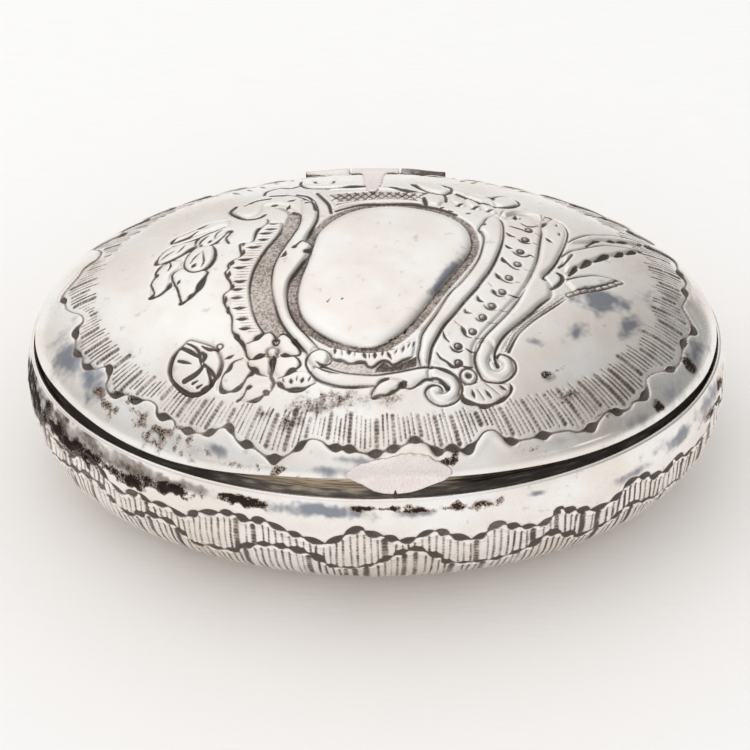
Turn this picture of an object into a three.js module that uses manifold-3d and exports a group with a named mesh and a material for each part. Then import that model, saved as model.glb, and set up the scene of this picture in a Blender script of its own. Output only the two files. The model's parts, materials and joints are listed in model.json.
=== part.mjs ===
// An oval silver box with a domed, hinged lid. Both shells are raised from sheet and chased: the
// lid with a plain panel inside a cartouche of scrolls, and lid and base with scalloped belts of flutes.
//
// Millimetres. +X runs along the length, -Y faces the thumb piece, +Z is up. The origin is the
// middle of the flat that the base stands on.
import * as THREE from 'three';
import { mergeVertices } from 'three/addons/utils/BufferGeometryUtils.js';
import Module from 'manifold-3d';

// Sheet and clearances
const SHEET = 0.7;
const SEAT_GAP = 0.3;

// Lid
const LID_LENGTH = 90;
const LID_WIDTH = 62;
const LID_RISE = 11.6;
const LID_REVEAL = 1.0;
const CROWN_POWER = 2.5;
const SHOULDER_POWER = 1.6;
const FRONT_LIFT = 1.5;
const FRONT_LIFT_LENGTH = 36;

// Base
const LEDGE_AT_ENDS = 0.6;
const LEDGE_AT_SIDES = 1.1;
const BASE_DEPTH = 20;
const BELLY_DROP = 5.5;
const BELLY_SWELL = 1.0;
const FOOT_INSET = 15.3;
const FOOT_POWER = 2.45;

// Collar inside the base, which the lid closes over
const COLLAR_SHEET = 0.6;
const COLLAR_HEIGHT = 2.9;
const COLLAR_FOOT_DEPTH = 2.6;
const COLLAR_CLEARANCE = 0.35;

// Chased belts of flutes, with a scalloped step along their upper edge
const FLUTES = 54;
const FLUTE_DEPTH = 0.14;
const STEP_DEPTH = 0.3;
const STEP_WIDTH = 0.35;
const LID_SCALLOPS = 27;
const LID_SCALLOP_DEPTH = 1.0;
const LID_BELT_INSET = 3.0;
const LID_BELT_WIDTH = 3.8;
const BASE_SCALLOPS = 27;
const BASE_SCALLOP_DEPTH = 1.9;
const UPPER_BELT_DROP = 5.8;
const LOWER_BELT_DROP = 10.4;

// Plain panel and the scrolls round it, set out on a squared drawing
const CARTOUCHE_LENGTH = 44;
const SQUARES_ALONG = 44;
const PANEL_RAISE = 0.45;
const PANEL_BEVEL = 0.7;
const GROOVE_RADIUS = 0.55;
const GROOVE_OUTSIDE_PANEL = 0.9;
const SCROLL_HEIGHT = 0.7;

// Hinge
const HINGE_LENGTH = 19.6;
const HINGE_OFF_CENTRE = -0.6;
const HINGE_STANDOFF = 1.35;
const KNUCKLE_RADIUS = 1.15;
const PIN_RADIUS = 0.5;
const PIN_CLEARANCE = 0.1;
const LID_KNUCKLE_LENGTH = 6.6;
const HINGE_PLATE_SHEET = 0.6;
const BEARER_DEPTH = 3.4;
const LID_PLATE_LENGTH = 7.0;
const LID_PLATE_REACH = 4.4;
const TONGUE_ROOT_WIDTH = 2.8;
const TONGUE_TIP_WIDTH = 1.6;
const TONGUE_REACH = 14.6;

// Thumb piece on the front of the lid
const THUMB_SHEET = 0.5;
const THUMB_WIDTH = 12.6;
const THUMB_OFF_CENTRE = 3.4;
const THUMB_RISE = 2.9;
const THUMB_NOTCH_WIDTH = 0.3;
const THUMB_NOTCH_HEIGHT = 0.9;

// Facets
const SEGMENTS = 2 * FLUTES;
const PLAIN_SEGMENTS = 60;
const ROUND_SEGMENTS = 20;

// Worked-out places
const LID_HALF_LENGTH = LID_LENGTH / 2;
const LID_HALF_WIDTH = LID_WIDTH / 2;
const RIM_HALF_LENGTH = LID_HALF_LENGTH + LEDGE_AT_ENDS;
const RIM_HALF_WIDTH = LID_HALF_WIDTH + LEDGE_AT_SIDES;
const RIM_Z = BASE_DEPTH;
const LID_EDGE_Z = RIM_Z + LID_REVEAL;
const PIN_Y = LID_HALF_WIDTH + SEAT_GAP + HINGE_STANDOFF + KNUCKLE_RADIUS - HINGE_PLATE_SHEET;
const PIN_Z = LID_EDGE_Z + SEAT_GAP / 2;

const wasm = await Module();
wasm.setup();

const silver = new THREE.MeshStandardMaterial({ color: 0xd9d6d0, roughness: 0.25, metalness: 1 });
const brownedSilver = new THREE.MeshStandardMaterial({ color: 0x86755c, roughness: 0.45, metalness: 1 });
const coppery = new THREE.MeshStandardMaterial({ color: 0xdcc6bb, roughness: 0.35, metalness: 1 });
const steel = new THREE.MeshStandardMaterial({ color: 0x8b8a88, roughness: 0.4, metalness: 1 });

// Solids and joins

function toManifold(geometry) {
  const bare = geometry.clone();
  bare.deleteAttribute('normal');
  bare.deleteAttribute('uv');
  const merged = mergeVertices(bare, 1e-5);
  return new wasm.Manifold(new wasm.Mesh({
    numProp: 3,
    vertProperties: new Float32Array(merged.attributes.position.array),
    triVerts: new Uint32Array(merged.index.array),
  }));
}

function toGeometry(manifold) {
  const mesh = manifold.getMesh();
  const geometry = new THREE.BufferGeometry();
  geometry.setAttribute('position', new THREE.BufferAttribute(new Float32Array(mesh.vertProperties), 3));
  geometry.setIndex(new THREE.BufferAttribute(new Uint32Array(mesh.triVerts), 1));
  return geometry;
}

function joined(first, ...others) {
  return others.reduce((body, other) => body.add(toManifold(other)), toManifold(first));
}

// A closed skin of rows that go round the same way. With poles it starts and ends on a point;
// without them the last row meets the first, which makes a ring.
function skin(rows, startPole, endPole) {
  const count = rows[0].length;
  const positions = rows.flat(2);
  const faces = [];
  const corner = (row, i) => row * count + (i % count);
  const strip = (upper, lower) => {
    for (let i = 0; i < count; i += 1) {
      faces.push(corner(upper, i), corner(lower, i), corner(lower, i + 1));
      faces.push(corner(upper, i), corner(lower, i + 1), corner(upper, i + 1));
    }
  };
  for (let row = 0; row + 1 < rows.length; row += 1) strip(row, row + 1);
  if (startPole) {
    const start = positions.push(...startPole) / 3 - 1;
    const end = positions.push(...endPole) / 3 - 1;
    for (let i = 0; i < count; i += 1) {
      faces.push(start, corner(0, i), corner(0, i + 1));
      faces.push(end, corner(rows.length - 1, i + 1), corner(rows.length - 1, i));
    }
  } else {
    strip(rows.length - 1, 0);
  }
  const geometry = new THREE.BufferGeometry();
  geometry.setAttribute('position', new THREE.Float32BufferAttribute(positions, 3));
  geometry.setIndex(faces);
  return geometry;
}

function rowOf(pointAt, segments = SEGMENTS) {
  return Array.from({ length: segments }, (_, i) => pointAt((i / segments) * 2 * Math.PI));
}

// The oval forms

// The edge of the lid has been sprung upwards at the front, where it is opened by the thumb.
function lidEdgeZ(angle) {
  const alongFront = Math.cos(angle) * LID_HALF_LENGTH;
  const lift = Math.sin(angle) < 0 ? Math.exp(-((alongFront / (FRONT_LIFT_LENGTH / 2)) ** 2)) : 0;
  return LID_EDGE_Z + FRONT_LIFT * lift;
}

// A point of the dome at a share of the way from its crown to its edge in plan.
function domePoint(share, angle, offset = 0) {
  const edge = lidEdgeZ(angle);
  const crown = LID_EDGE_Z + LID_RISE + offset;
  const height = (1 - Math.min(share, 1) ** CROWN_POWER) ** (1 / SHOULDER_POWER);
  return [
    (LID_HALF_LENGTH + offset) * share * Math.cos(angle),
    (LID_HALF_WIDTH + offset) * share * Math.sin(angle),
    edge + (crown - edge) * height,
  ];
}

function domeZ(x, y) {
  const alongShare = x / LID_HALF_LENGTH;
  const acrossShare = y / LID_HALF_WIDTH;
  return domePoint(Math.hypot(alongShare, acrossShare), Math.atan2(acrossShare, alongShare))[2];
}

// A point of the base at a depth below its rim: it swells to the belly, then a quarter of a full,
// squarish ellipse brings it in to the foot.
function basePoint(drop, angle, offset = 0) {
  const toBelly = Math.min(drop / BELLY_DROP, 1);
  const bellyToFoot = Math.max(drop - BELLY_DROP, 0) / (BASE_DEPTH + offset - BELLY_DROP);
  const swell = BELLY_SWELL * Math.sin((toBelly * Math.PI) / 2);
  const fullness = Math.max(1 - bellyToFoot ** FOOT_POWER, 0) ** (1 / FOOT_POWER);
  const inset = (BELLY_SWELL + FOOT_INSET) * (1 - fullness);
  return [
    (RIM_HALF_LENGTH + offset + swell - inset) * Math.cos(angle),
    (RIM_HALF_WIDTH + offset + swell - inset) * Math.sin(angle),
    RIM_Z - drop,
  ];
}

function flute(angle) {
  return FLUTE_DEPTH * Math.cos(FLUTES * angle);
}

function scallop(angle, count) {
  return Math.abs(Math.cos((count * angle) / 2)) - 0.5;
}

// The lid as a plain solid form, larger or smaller than the real one, with a straight skirt
// below its edge. It is what cuts pieces that lie on the dome or inside it.
function domeForm(offset, skirt) {
  const shares = [0.3, 0.5, 0.66, 0.78, 0.87, 0.93, 0.97, 0.99, 1];
  const rows = shares.map((share) => rowOf((angle) => domePoint(share, angle, offset)));
  rows.push(rowOf((angle) => {
    const [x, y] = domePoint(1, angle, offset);
    return [x, y, LID_EDGE_Z - skirt];
  }));
  return skin(rows, domePoint(0, 0, offset), [0, 0, LID_EDGE_Z - skirt]);
}

function baseForm(offset) {
  const drops = [0, 0.35, 0.7, 1].map((share) => share * BELLY_DROP);
  const rows = drops.map((drop) => rowOf((angle) => basePoint(drop, angle, offset)));
  return skin(rows, [0, 0, RIM_Z], [0, 0, RIM_Z - BELLY_DROP]);
}

// Lid shell

function beltShare(angle) {
  const inset = LID_BELT_INSET - LID_SCALLOP_DEPTH * scallop(angle, LID_SCALLOPS);
  return 1 - inset / ((LID_HALF_LENGTH + LID_HALF_WIDTH) / 2);
}

function lidSheet() {
  const meanRadius = (LID_HALF_LENGTH + LID_HALF_WIDTH) / 2;
  const innerShare = 1 - (LID_BELT_INSET + LID_BELT_WIDTH) / meanRadius;
  const stepShare = STEP_WIDTH / meanRadius;
  const plainRow = (share) => rowOf((angle) => domePoint(share, angle));
  const fluteRow = (shareAt, depth) => rowOf((angle) => domePoint(shareAt(angle), angle, flute(angle) - depth));
  const outside = [
    ...[0.22, 0.42, 0.57, 0.69].map(plainRow),
    plainRow(innerShare),
    fluteRow(() => innerShare + stepShare, STEP_DEPTH / 2),
    fluteRow((angle) => (innerShare + beltShare(angle)) / 2, STEP_DEPTH),
    fluteRow((angle) => beltShare(angle) - stepShare, STEP_DEPTH),
    rowOf((angle) => domePoint(beltShare(angle), angle)),
    ...[0.965, 0.987, 1].map(plainRow),
  ];
  const inside = [1, 0.97, 0.87, 0.68, 0.4].map(
    (share) => rowOf((angle) => domePoint(share, angle, -SHEET)),
  );
  return skin([...outside, ...inside], domePoint(0, 0), domePoint(0, 0, -SHEET));
}

// Cartouche

const square = CARTOUCHE_LENGTH / SQUARES_ALONG;

function drawn(points, closed = false) {
  const places = points.map(([x, y]) => new THREE.Vector3(x * square, y * square, 0));
  return new THREE.CatmullRomCurve3(places, closed, 'centripetal');
}

const panelOutline = drawn([
  [2, 12.2], [-4.4, 9.8], [-8, 3.5], [-9.6, -6], [-6.6, -13.8], [-0.5, -16],
  [4.2, -13], [8.6, -5.4], [12.3, 2], [11, 8.6],
], true);

// The plain panel is a raised pad whose top follows the dome, with a bevelled edge.
function panel() {
  const segments = 44;
  const outline = panelOutline.getSpacedPoints(segments).slice(0, segments);
  const centre = new THREE.Vector3(1, -2, 0).multiplyScalar(square);
  const row = (inset, raise) => outline.map((place) => {
    const inward = centre.clone().sub(place).setLength(inset);
    const { x, y } = place.clone().add(inward);
    return [x, y, domeZ(x, y) + raise];
  });
  const pole = (raise) => [centre.x, centre.y, domeZ(centre.x, centre.y) + raise];
  const rows = [
    row(5 * square, PANEL_RAISE),
    row(PANEL_BEVEL, PANEL_RAISE),
    row(0, 0),
    row(0, -SHEET / 2),
  ];
  return skin(rows, pole(PANEL_RAISE), pole(-SHEET / 2));
}

// A rounded ridge that follows a drawn line over the dome. Its width runs through the given
// widths from one end to the other, and it closes to a point at both ends.
function ridge(points, widths, height = SCROLL_HEIGHT) {
  const steps = 3 * points.length;
  const line = drawn(points);
  const sides = 5;
  const rows = [];
  for (let step = 0; step <= steps; step += 1) {
    const along = step / steps;
    const { x, y } = line.getPoint(along);
    const tangent = line.getTangent(along);
    const place = along * (widths.length - 1);
    const before = Math.min(Math.floor(place), widths.length - 2);
    const width = THREE.MathUtils.lerp(widths[before], widths[before + 1], place - before) * square;
    rows.push(Array.from({ length: sides }, (_, i) => {
      const turn = ((i + 0.75) / sides) * 2 * Math.PI;
      const aside = (Math.cos(turn) * width) / 2;
      const acrossX = x + tangent.y * aside;
      const acrossY = y - tangent.x * aside;
      const up = Math.sin(turn) > 0 ? height : SHEET / 2;
      return [acrossX, acrossY, domeZ(acrossX, acrossY) + Math.sin(turn) * up];
    }));
  }
  const tip = (at) => {
    const { x, y } = line.getPoint(at);
    return [x, y, domeZ(x, y)];
  };
  return skin(rows, tip(0), tip(1));
}

// A groove that follows a closed line over the dome, as a round bar to be cut away.
function grooveBar(curve, outward, radius) {
  const steps = 48;
  const sides = 5;
  const rows = curve.getSpacedPoints(steps).slice(0, steps).map((place, step) => {
    const tangent = curve.getTangentAt(step / steps);
    return Array.from({ length: sides }, (_, i) => {
      const turn = (i / sides) * 2 * Math.PI;
      const aside = outward + Math.cos(turn) * radius;
      const x = place.x + tangent.y * aside;
      const y = place.y - tangent.x * aside;
      return [x, y, domeZ(x, y) + Math.sin(turn) * radius * 0.8];
    });
  });
  return skin(rows);
}

// A line that winds inwards to a scroll's eye.
function spiral(centre, startRadius, endRadius, startTurn, turns, count) {
  return Array.from({ length: count }, (_, i) => {
    const share = i / (count - 1);
    const radius = THREE.MathUtils.lerp(startRadius, endRadius, share);
    const angle = (startTurn + turns * share) * 2 * Math.PI;
    return [centre[0] + radius * Math.cos(angle), centre[1] + radius * Math.sin(angle)];
  });
}

function scrolls() {
  const leftBand = ridge(
    [[-15.6, 13.2], [-13, 15], [-10.2, 13.6], [-9, 10.4], [-9.8, 5.8], [-11.6, 0.4],
      [-12, -5], [-10.9, -10.4], [-8.6, -14.4], [-6.8, -16.4]],
    [1.2, 2, 2, 2, 2.2, 2.4, 2, 1.4, 0.8],
  );
  const rightBand = ridge(
    [[15.4, 12], [15.9, 8.4], [15.4, 4], [14, -1.4], [11.6, -6], [8.6, -11.2], [6.8, -15.6], [6.6, -19]],
    [1, 2, 1.9, 1.7, 1.4],
  );
  const topArch = ridge([[-5.8, 12.2], [-3, 14], [1, 14.6], [4.6, 14.4], [7.6, 13.4]], [1, 1.1, 1]);
  const hook = ridge(
    [[16.9, 10], [17.6, 12.4], [20.6, 13.2], [23.8, 12], [25.2, 8.4], [24.2, 4.6], [22.2, 1], [21, -2.6]],
    [1.8, 1.8, 2, 2.4, 1.6, 0.8],
  );
  const rightScroll = ridge(
    [[23.6, -1.6], [20.6, -5.4], [17.4, -9.8], [14.6, -14], ...spiral([15.8, -17.7], 2.4, 0.7, 0.52, 0.9, 8)],
    [0.8, 1.6, 1.8, 2, 1.8, 1.2],
  );
  const bottomScroll = ridge(
    [...spiral([-6.4, -17.7], 0.6, 1.8, 0.1, 0.5, 4), [-6.2, -20.2], [-1.4, -21.2], [3.6, -20.6],
      [7, -19.8], ...spiral([8.7, -22], 2.2, 0.7, 0.22, -0.95, 8)],
    [1, 1.5, 1.5, 1.6, 1.6, 1.8, 1.4, 1],
  );
  const topScroll = ridge(
    [...spiral([-6.9, 21.8], 0.8, 2.2, 0, -0.5, 5), [-8, 19.4], [-4.4, 18.6], [-1.8, 18.8]],
    [1, 1.6, 1.8, 1],
  );
  const topRightScroll = ridge(
    [[1.6, 19.2], [5, 17.6], [9.6, 17.4], [13.6, 15.6], ...spiral([17, 16.2], 2, 0.7, 0.6, 0.9, 7)],
    [1, 1.6, 1.4, 1.2, 1],
  );
  return [leftBand, rightBand, topArch, hook, rightScroll, bottomScroll, topScroll, topRightScroll];
}

function lidShell() {
  const raised = joined(lidSheet(), panel(), ...scrolls());
  const groove = toManifold(grooveBar(panelOutline, -GROOVE_OUTSIDE_PANEL, GROOVE_RADIUS));
  return toGeometry(raised.subtract(groove));
}

// Base shell

function beltDrop(drop, angle, count) {
  return drop - BASE_SCALLOP_DEPTH * scallop(angle, count);
}

function baseShell() {
  const plainRow = (drop) => rowOf((angle) => basePoint(drop, angle));
  const belt = (lineDrop, lowerDrop, shares) => [
    rowOf((angle) => basePoint(lineDrop(angle), angle)),
    rowOf((angle) => basePoint(lineDrop(angle) + STEP_WIDTH, angle, flute(angle) - STEP_DEPTH)),
    ...shares.map((share) => rowOf((angle) => {
      const drop = THREE.MathUtils.lerp(lineDrop(angle), lowerDrop(angle), share);
      return basePoint(drop, angle, flute(angle) - STEP_DEPTH);
    })),
  ];
  const upperLine = (angle) => beltDrop(UPPER_BELT_DROP, angle, BASE_SCALLOPS);
  const lowerLine = (angle) => beltDrop(LOWER_BELT_DROP, angle + Math.PI / BASE_SCALLOPS, BASE_SCALLOPS);
  const footRow = BASE_DEPTH - SHEET;
  const inside = [0.96, 0.84, 0.62, 0.3, 0].map(
    (share) => rowOf((angle) => basePoint(share * (BASE_DEPTH - SHEET), angle, -SHEET)),
  );
  const outside = [
    plainRow(0),
    plainRow(UPPER_BELT_DROP / 3),
    ...belt(upperLine, lowerLine, [0.5]),
    ...belt(lowerLine, () => footRow, [0.3, 0.65]),
    plainRow(footRow),
    plainRow(BASE_DEPTH),
  ];
  const floor = rowOf((angle) => {
    const [x, y] = basePoint(BASE_DEPTH - SHEET, angle, -SHEET);
    return [x, y, SHEET];
  });
  return skin([floor, ...inside, ...outside], [0, 0, SHEET], [0, 0, 0]);
}

// The collar leans in like the inside of the lid above the rim, and its foot lies against the
// inside of the base.
function collar() {
  const topZ = RIM_Z + COLLAR_HEIGHT;
  const footZ = RIM_Z - COLLAR_FOOT_DEPTH;
  const insideLid = (z, angle, inward) => {
    const offset = -SHEET - COLLAR_CLEARANCE;
    const height = Math.max(z - LID_EDGE_Z, 0) / (LID_RISE + offset);
    const share = (1 - height ** SHOULDER_POWER) ** (1 / CROWN_POWER);
    return [
      ((LID_HALF_LENGTH + offset) * share - inward) * Math.cos(angle),
      ((LID_HALF_WIDTH + offset) * share - inward) * Math.sin(angle),
      z,
    ];
  };
  const insideBase = (z, angle, inward) => basePoint(RIM_Z - z, angle, -SHEET - SEAT_GAP - inward);
  const row = (pointAt) => rowOf(pointAt, PLAIN_SEGMENTS);
  const jogZ = RIM_Z - COLLAR_FOOT_DEPTH / 3;
  const outerFace = [
    row((angle) => insideLid(topZ, angle, 0)),
    row((angle) => insideLid((topZ + LID_EDGE_Z) / 2, angle, 0)),
    row((angle) => insideLid(RIM_Z, angle, 0)),
    row((angle) => insideBase(jogZ, angle, 0)),
    row((angle) => insideBase(footZ, angle, 0)),
  ];
  const innerFace = [
    row((angle) => insideBase(footZ, angle, COLLAR_SHEET)),
    row((angle) => insideBase(jogZ - COLLAR_SHEET / 2, angle, COLLAR_SHEET)),
    row((angle) => insideLid(RIM_Z - COLLAR_SHEET / 2, angle, COLLAR_SHEET)),
    row((angle) => insideLid((topZ + LID_EDGE_Z) / 2, angle, COLLAR_SHEET)),
    row((angle) => insideLid(topZ, angle, COLLAR_SHEET)),
  ];
  return skin([...outerFace, ...innerFace]);
}

// Hinge

function rodAlongX(radius, length, centreX) {
  const rod = new THREE.CylinderGeometry(radius, radius, length, ROUND_SEGMENTS);
  rod.rotateZ(Math.PI / 2);
  rod.translate(centreX, PIN_Y, PIN_Z);
  return rod;
}

function knuckle(length, centreX) {
  const bore = rodAlongX(PIN_RADIUS + PIN_CLEARANCE, length + 1, centreX);
  return toGeometry(toManifold(rodAlongX(KNUCKLE_RADIUS, length, centreX)).subtract(toManifold(bore)));
}

const baseKnuckleLength = (HINGE_LENGTH - LID_KNUCKLE_LENGTH) / 2 - SEAT_GAP;

function baseKnuckle(side) {
  return knuckle(baseKnuckleLength, HINGE_OFF_CENTRE + (side * (HINGE_LENGTH - baseKnuckleLength)) / 2);
}

// An outline in the plane of the first two axes, drawn through to a thickness along the third.
function plate(corners, from, to) {
  const shape = new THREE.Shape(corners.map(([u, v]) => new THREE.Vector2(u, v)));
  const solid = new THREE.ExtrudeGeometry(shape, { depth: to - from, bevelEnabled: false });
  solid.translate(0, 0, from);
  return solid;
}

// The bearer is filed to the oval of the base on one side and left straight on the other, and
// its top is hollowed to take the knuckles.
function hingeBearer() {
  const left = HINGE_OFF_CENTRE - HINGE_LENGTH / 2;
  const right = HINGE_OFF_CENTRE + HINGE_LENGTH / 2;
  const back = PIN_Y + KNUCKLE_RADIUS / 2;
  const topZ = PIN_Z - KNUCKLE_RADIUS / 2;
  const front = RIM_HALF_WIDTH * Math.sqrt(1 - (HINGE_LENGTH / 2 / RIM_HALF_LENGTH) ** 2) - 1;
  const bar = plate([[left, front], [right, front], [right, back], [left, back]], topZ - BEARER_DEPTH, topZ);
  const seat = rodAlongX(KNUCKLE_RADIUS + SEAT_GAP, HINGE_LENGTH + 1, HINGE_OFF_CENTRE);
  return toGeometry(toManifold(bar).subtract(toManifold(baseForm(SEAT_GAP))).subtract(toManifold(seat)));
}

// A strip of sheet that lies on the outside of the lid, inside a given outline.
function sheetOnDome(outline, thickness, skirt) {
  const outer = toManifold(domeForm(SEAT_GAP + thickness, skirt));
  return outer.subtract(toManifold(domeForm(SEAT_GAP, skirt + 1))).intersect(toManifold(outline));
}

// The lid's plate spans the middle knuckle, and a tongue runs from it up the dome.
function lidHingePlate() {
  const middle = HINGE_OFF_CENTRE;
  const edgeY = LID_HALF_WIDTH + SEAT_GAP + HINGE_PLATE_SHEET + 1;
  const shoulderY = LID_HALF_WIDTH - LID_PLATE_REACH;
  const tipY = LID_HALF_WIDTH - TONGUE_REACH;
  const half = LID_PLATE_LENGTH / 2;
  const outline = plate([
    [middle - half, edgeY], [middle - half, shoulderY + 1], [middle - TONGUE_ROOT_WIDTH / 2, shoulderY - 1],
    [middle - TONGUE_TIP_WIDTH / 2, tipY + 1], [middle, tipY], [middle + TONGUE_TIP_WIDTH / 2, tipY + 1],
    [middle + TONGUE_ROOT_WIDTH / 2, shoulderY - 1], [middle + half, shoulderY + 1], [middle + half, edgeY],
  ], LID_EDGE_Z, LID_EDGE_Z + LID_RISE + 2);
  const seat = rodAlongX(KNUCKLE_RADIUS + SEAT_GAP, HINGE_LENGTH + 1, HINGE_OFF_CENTRE);
  return toGeometry(sheetOnDome(outline, HINGE_PLATE_SHEET, 0).subtract(toManifold(seat)));
}

// Thumb piece, with a bracket-shaped lower edge that comes down almost to the base

function thumbPiece() {
  const bottomZ = RIM_Z + SEAT_GAP;
  const edgeZ = LID_EDGE_Z + FRONT_LIFT;
  const topZ = edgeZ + THUMB_RISE;
  const half = THUMB_WIDTH / 2;
  const bracket = new THREE.Shape();
  bracket.moveTo(-half, edgeZ + 0.2);
  bracket.quadraticCurveTo(-half * 0.6, edgeZ, -half * 0.45, (edgeZ + bottomZ) / 2);
  bracket.quadraticCurveTo(-half * 0.3, bottomZ, -THUMB_NOTCH_WIDTH, bottomZ);
  bracket.lineTo(0, bottomZ + THUMB_NOTCH_HEIGHT);
  bracket.lineTo(THUMB_NOTCH_WIDTH, bottomZ);
  bracket.quadraticCurveTo(half * 0.3, bottomZ, half * 0.45, (edgeZ + bottomZ) / 2);
  bracket.quadraticCurveTo(half * 0.6, edgeZ, half, edgeZ + 0.2);
  bracket.quadraticCurveTo(half * 0.9, edgeZ + 1.6, half * 0.3, topZ);
  bracket.quadraticCurveTo(-half * 0.5, topZ, -half, edgeZ + 0.2);
  const prism = new THREE.ExtrudeGeometry(bracket, { depth: LID_HALF_WIDTH, bevelEnabled: false, curveSegments: 6 });
  prism.rotateX(Math.PI / 2);
  prism.translate(THUMB_OFF_CENTRE, -LID_HALF_WIDTH / 2, 0);
  return toGeometry(sheetOnDome(prism, THUMB_SHEET, LID_REVEAL));
}

// The assembly

function piece(name, geometry, material) {
  const mesh = new THREE.Mesh(geometry, material);
  mesh.name = name;
  return mesh;
}

const base = new THREE.Group();
base.add(
  piece('base_shell', baseShell(), silver),
  piece('base_collar', collar(), brownedSilver),
  piece('hinge_bearer', hingeBearer(), silver),
  piece('base_knuckle_left', baseKnuckle(-1), silver),
  piece('base_knuckle_right', baseKnuckle(1), silver),
  piece('hinge_pin', rodAlongX(PIN_RADIUS, HINGE_LENGTH, HINGE_OFF_CENTRE), steel),
);

const lid = new THREE.Group();
lid.add(
  piece('lid_shell', lidShell(), silver),
  piece('lid_hinge_plate', lidHingePlate(), coppery),
  piece('lid_knuckle', knuckle(LID_KNUCKLE_LENGTH, HINGE_OFF_CENTRE), coppery),
  piece('thumb_piece', thumbPiece(), coppery),
);

const box = new THREE.Group();
box.add(base, lid);

export default box;
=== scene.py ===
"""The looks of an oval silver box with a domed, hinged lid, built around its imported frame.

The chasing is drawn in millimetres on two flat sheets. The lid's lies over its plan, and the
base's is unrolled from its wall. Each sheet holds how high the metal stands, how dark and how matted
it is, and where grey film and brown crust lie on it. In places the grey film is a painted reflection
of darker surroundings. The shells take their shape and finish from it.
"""
import json
import math

import bpy
import numpy as np
from mathutils import Matrix, Vector


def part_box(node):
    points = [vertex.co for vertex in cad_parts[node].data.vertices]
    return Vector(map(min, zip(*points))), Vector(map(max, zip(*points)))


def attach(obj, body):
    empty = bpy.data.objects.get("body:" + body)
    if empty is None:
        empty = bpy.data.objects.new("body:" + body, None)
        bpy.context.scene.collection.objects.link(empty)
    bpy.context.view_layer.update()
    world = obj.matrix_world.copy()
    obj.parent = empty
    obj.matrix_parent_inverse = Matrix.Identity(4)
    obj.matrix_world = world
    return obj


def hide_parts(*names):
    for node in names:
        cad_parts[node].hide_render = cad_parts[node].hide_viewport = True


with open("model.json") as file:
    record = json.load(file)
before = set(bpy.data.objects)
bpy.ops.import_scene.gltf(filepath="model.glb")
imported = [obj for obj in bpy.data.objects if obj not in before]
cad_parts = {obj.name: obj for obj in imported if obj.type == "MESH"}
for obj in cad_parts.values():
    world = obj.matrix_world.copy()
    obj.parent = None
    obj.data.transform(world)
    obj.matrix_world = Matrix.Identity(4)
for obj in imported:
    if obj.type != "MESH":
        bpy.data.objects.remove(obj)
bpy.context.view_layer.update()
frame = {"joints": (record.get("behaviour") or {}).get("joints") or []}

MM = 0.001

# How fine the two sheets of chasing are, in millimetres, and the meshes that take their shape
LID_STEP = 0.05
BASE_STEP = 0.06
LID_GRID = 600
BASE_COLUMNS = 1600
COLLAR_COLUMNS = 320
KNUCKLE_SIDES = 48


def corners_mm(node):
    low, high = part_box(node)
    return low / MM, high / MM


# Sizes of the shells, in millimetres
lid_low, lid_high = corners_mm("lid_shell")
_, base_high = corners_mm("base_shell")
SHEET = 0.7
LID_A = lid_high.x
LID_B = lid_high.y
LID_EDGE = lid_low.z
CROWN = LID_EDGE + 11.6
CROWN_POWER = 2.5
SHOULDER_POWER = 1.6
RIM_Z = base_high.z
RIM_A = LID_A + 0.6
RIM_B = LID_B + 1.1
BELLY_DROP = 5.5
BELLY_SWELL = 0.9
FOOT_INSET = 15.3
FOOT_POWER = 2.45

# The camera stands where the photograph was taken from
CAMERA_ELEVATION = math.radians(39.872)
CAMERA_YAW = math.radians(-1.8276)
CAMERA_ROLL = math.radians(1.0596)
CAMERA_DISTANCE = 0.4
CAMERA_LENS = 144.97
CAMERA_SHIFT = (-0.00055, -0.05453)


# Lines and fields

def spline(points, closed=False, spacing=0.3):
    """A smooth line through points, as places no further apart than the spacing."""
    p = np.array(points, float)
    if closed:
        before, after, ends = np.roll(p, 1, 0), np.roll(p, -1, 0), np.roll(p, -2, 0)
    elif len(p) == 2:
        return p
    else:
        before = np.vstack([2 * p[0] - p[1], p[:-2]])
        after, ends = p[1:], np.vstack([p[2:], 2 * p[-1] - p[-2]])
        p = p[:-1]
    places = []
    for a, b, c, d in zip(before, p, after, ends):
        count = max(1, math.ceil(math.dist(b, c) / spacing))
        t = (np.arange(count) / count)[:, None]
        places.append(0.5 * (2 * b + (c - a) * t + (2 * a - 5 * b + 4 * c - d) * t ** 2
                             + (3 * b - a - 3 * c + d) * t ** 3))
    if not closed:
        places.append(np.array(points[-1:], float))
    return np.vstack(places)


def distance_along(line):
    """How far each place of a line is from its start, along the line."""
    return np.concatenate([[0], np.cumsum(np.hypot(*np.diff(line, axis=0).T))])


def evenly(points, count):
    """Places at even distances along a smooth line."""
    line = spline(points)
    passed = distance_along(line)
    at = np.linspace(0, passed[-1], count)
    return np.column_stack([np.interp(at, passed, line[:, 0]), np.interp(at, passed, line[:, 1])])


def circle(x, y, radius, count=9, first_turn=0.0):
    """Points at even turns round a middle."""
    angles = (first_turn + (count - 1) / count * np.linspace(0, 1, count)) * 2 * math.pi
    return [(x + radius * math.cos(a), y + radius * math.sin(a)) for a in angles]


def without_widths(points):
    return [p[:2] for p in points]


def between(first, second):
    """The outline of what lies between two lines that run the same way."""
    return np.vstack([spline(without_widths(first)), spline(without_widths(second))[::-1]])


def heights_of(line):
    """A function that gives the height of a line that runs across a sheet, at given places across."""
    order = np.argsort(line[:, 0])
    return lambda x: np.interp(x, line[order, 0], line[order, 1])


def smooth(value, low, high):
    share = np.clip((value - low) / (high - low), 0, 1)
    return share * share * (3 - 2 * share)


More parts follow.
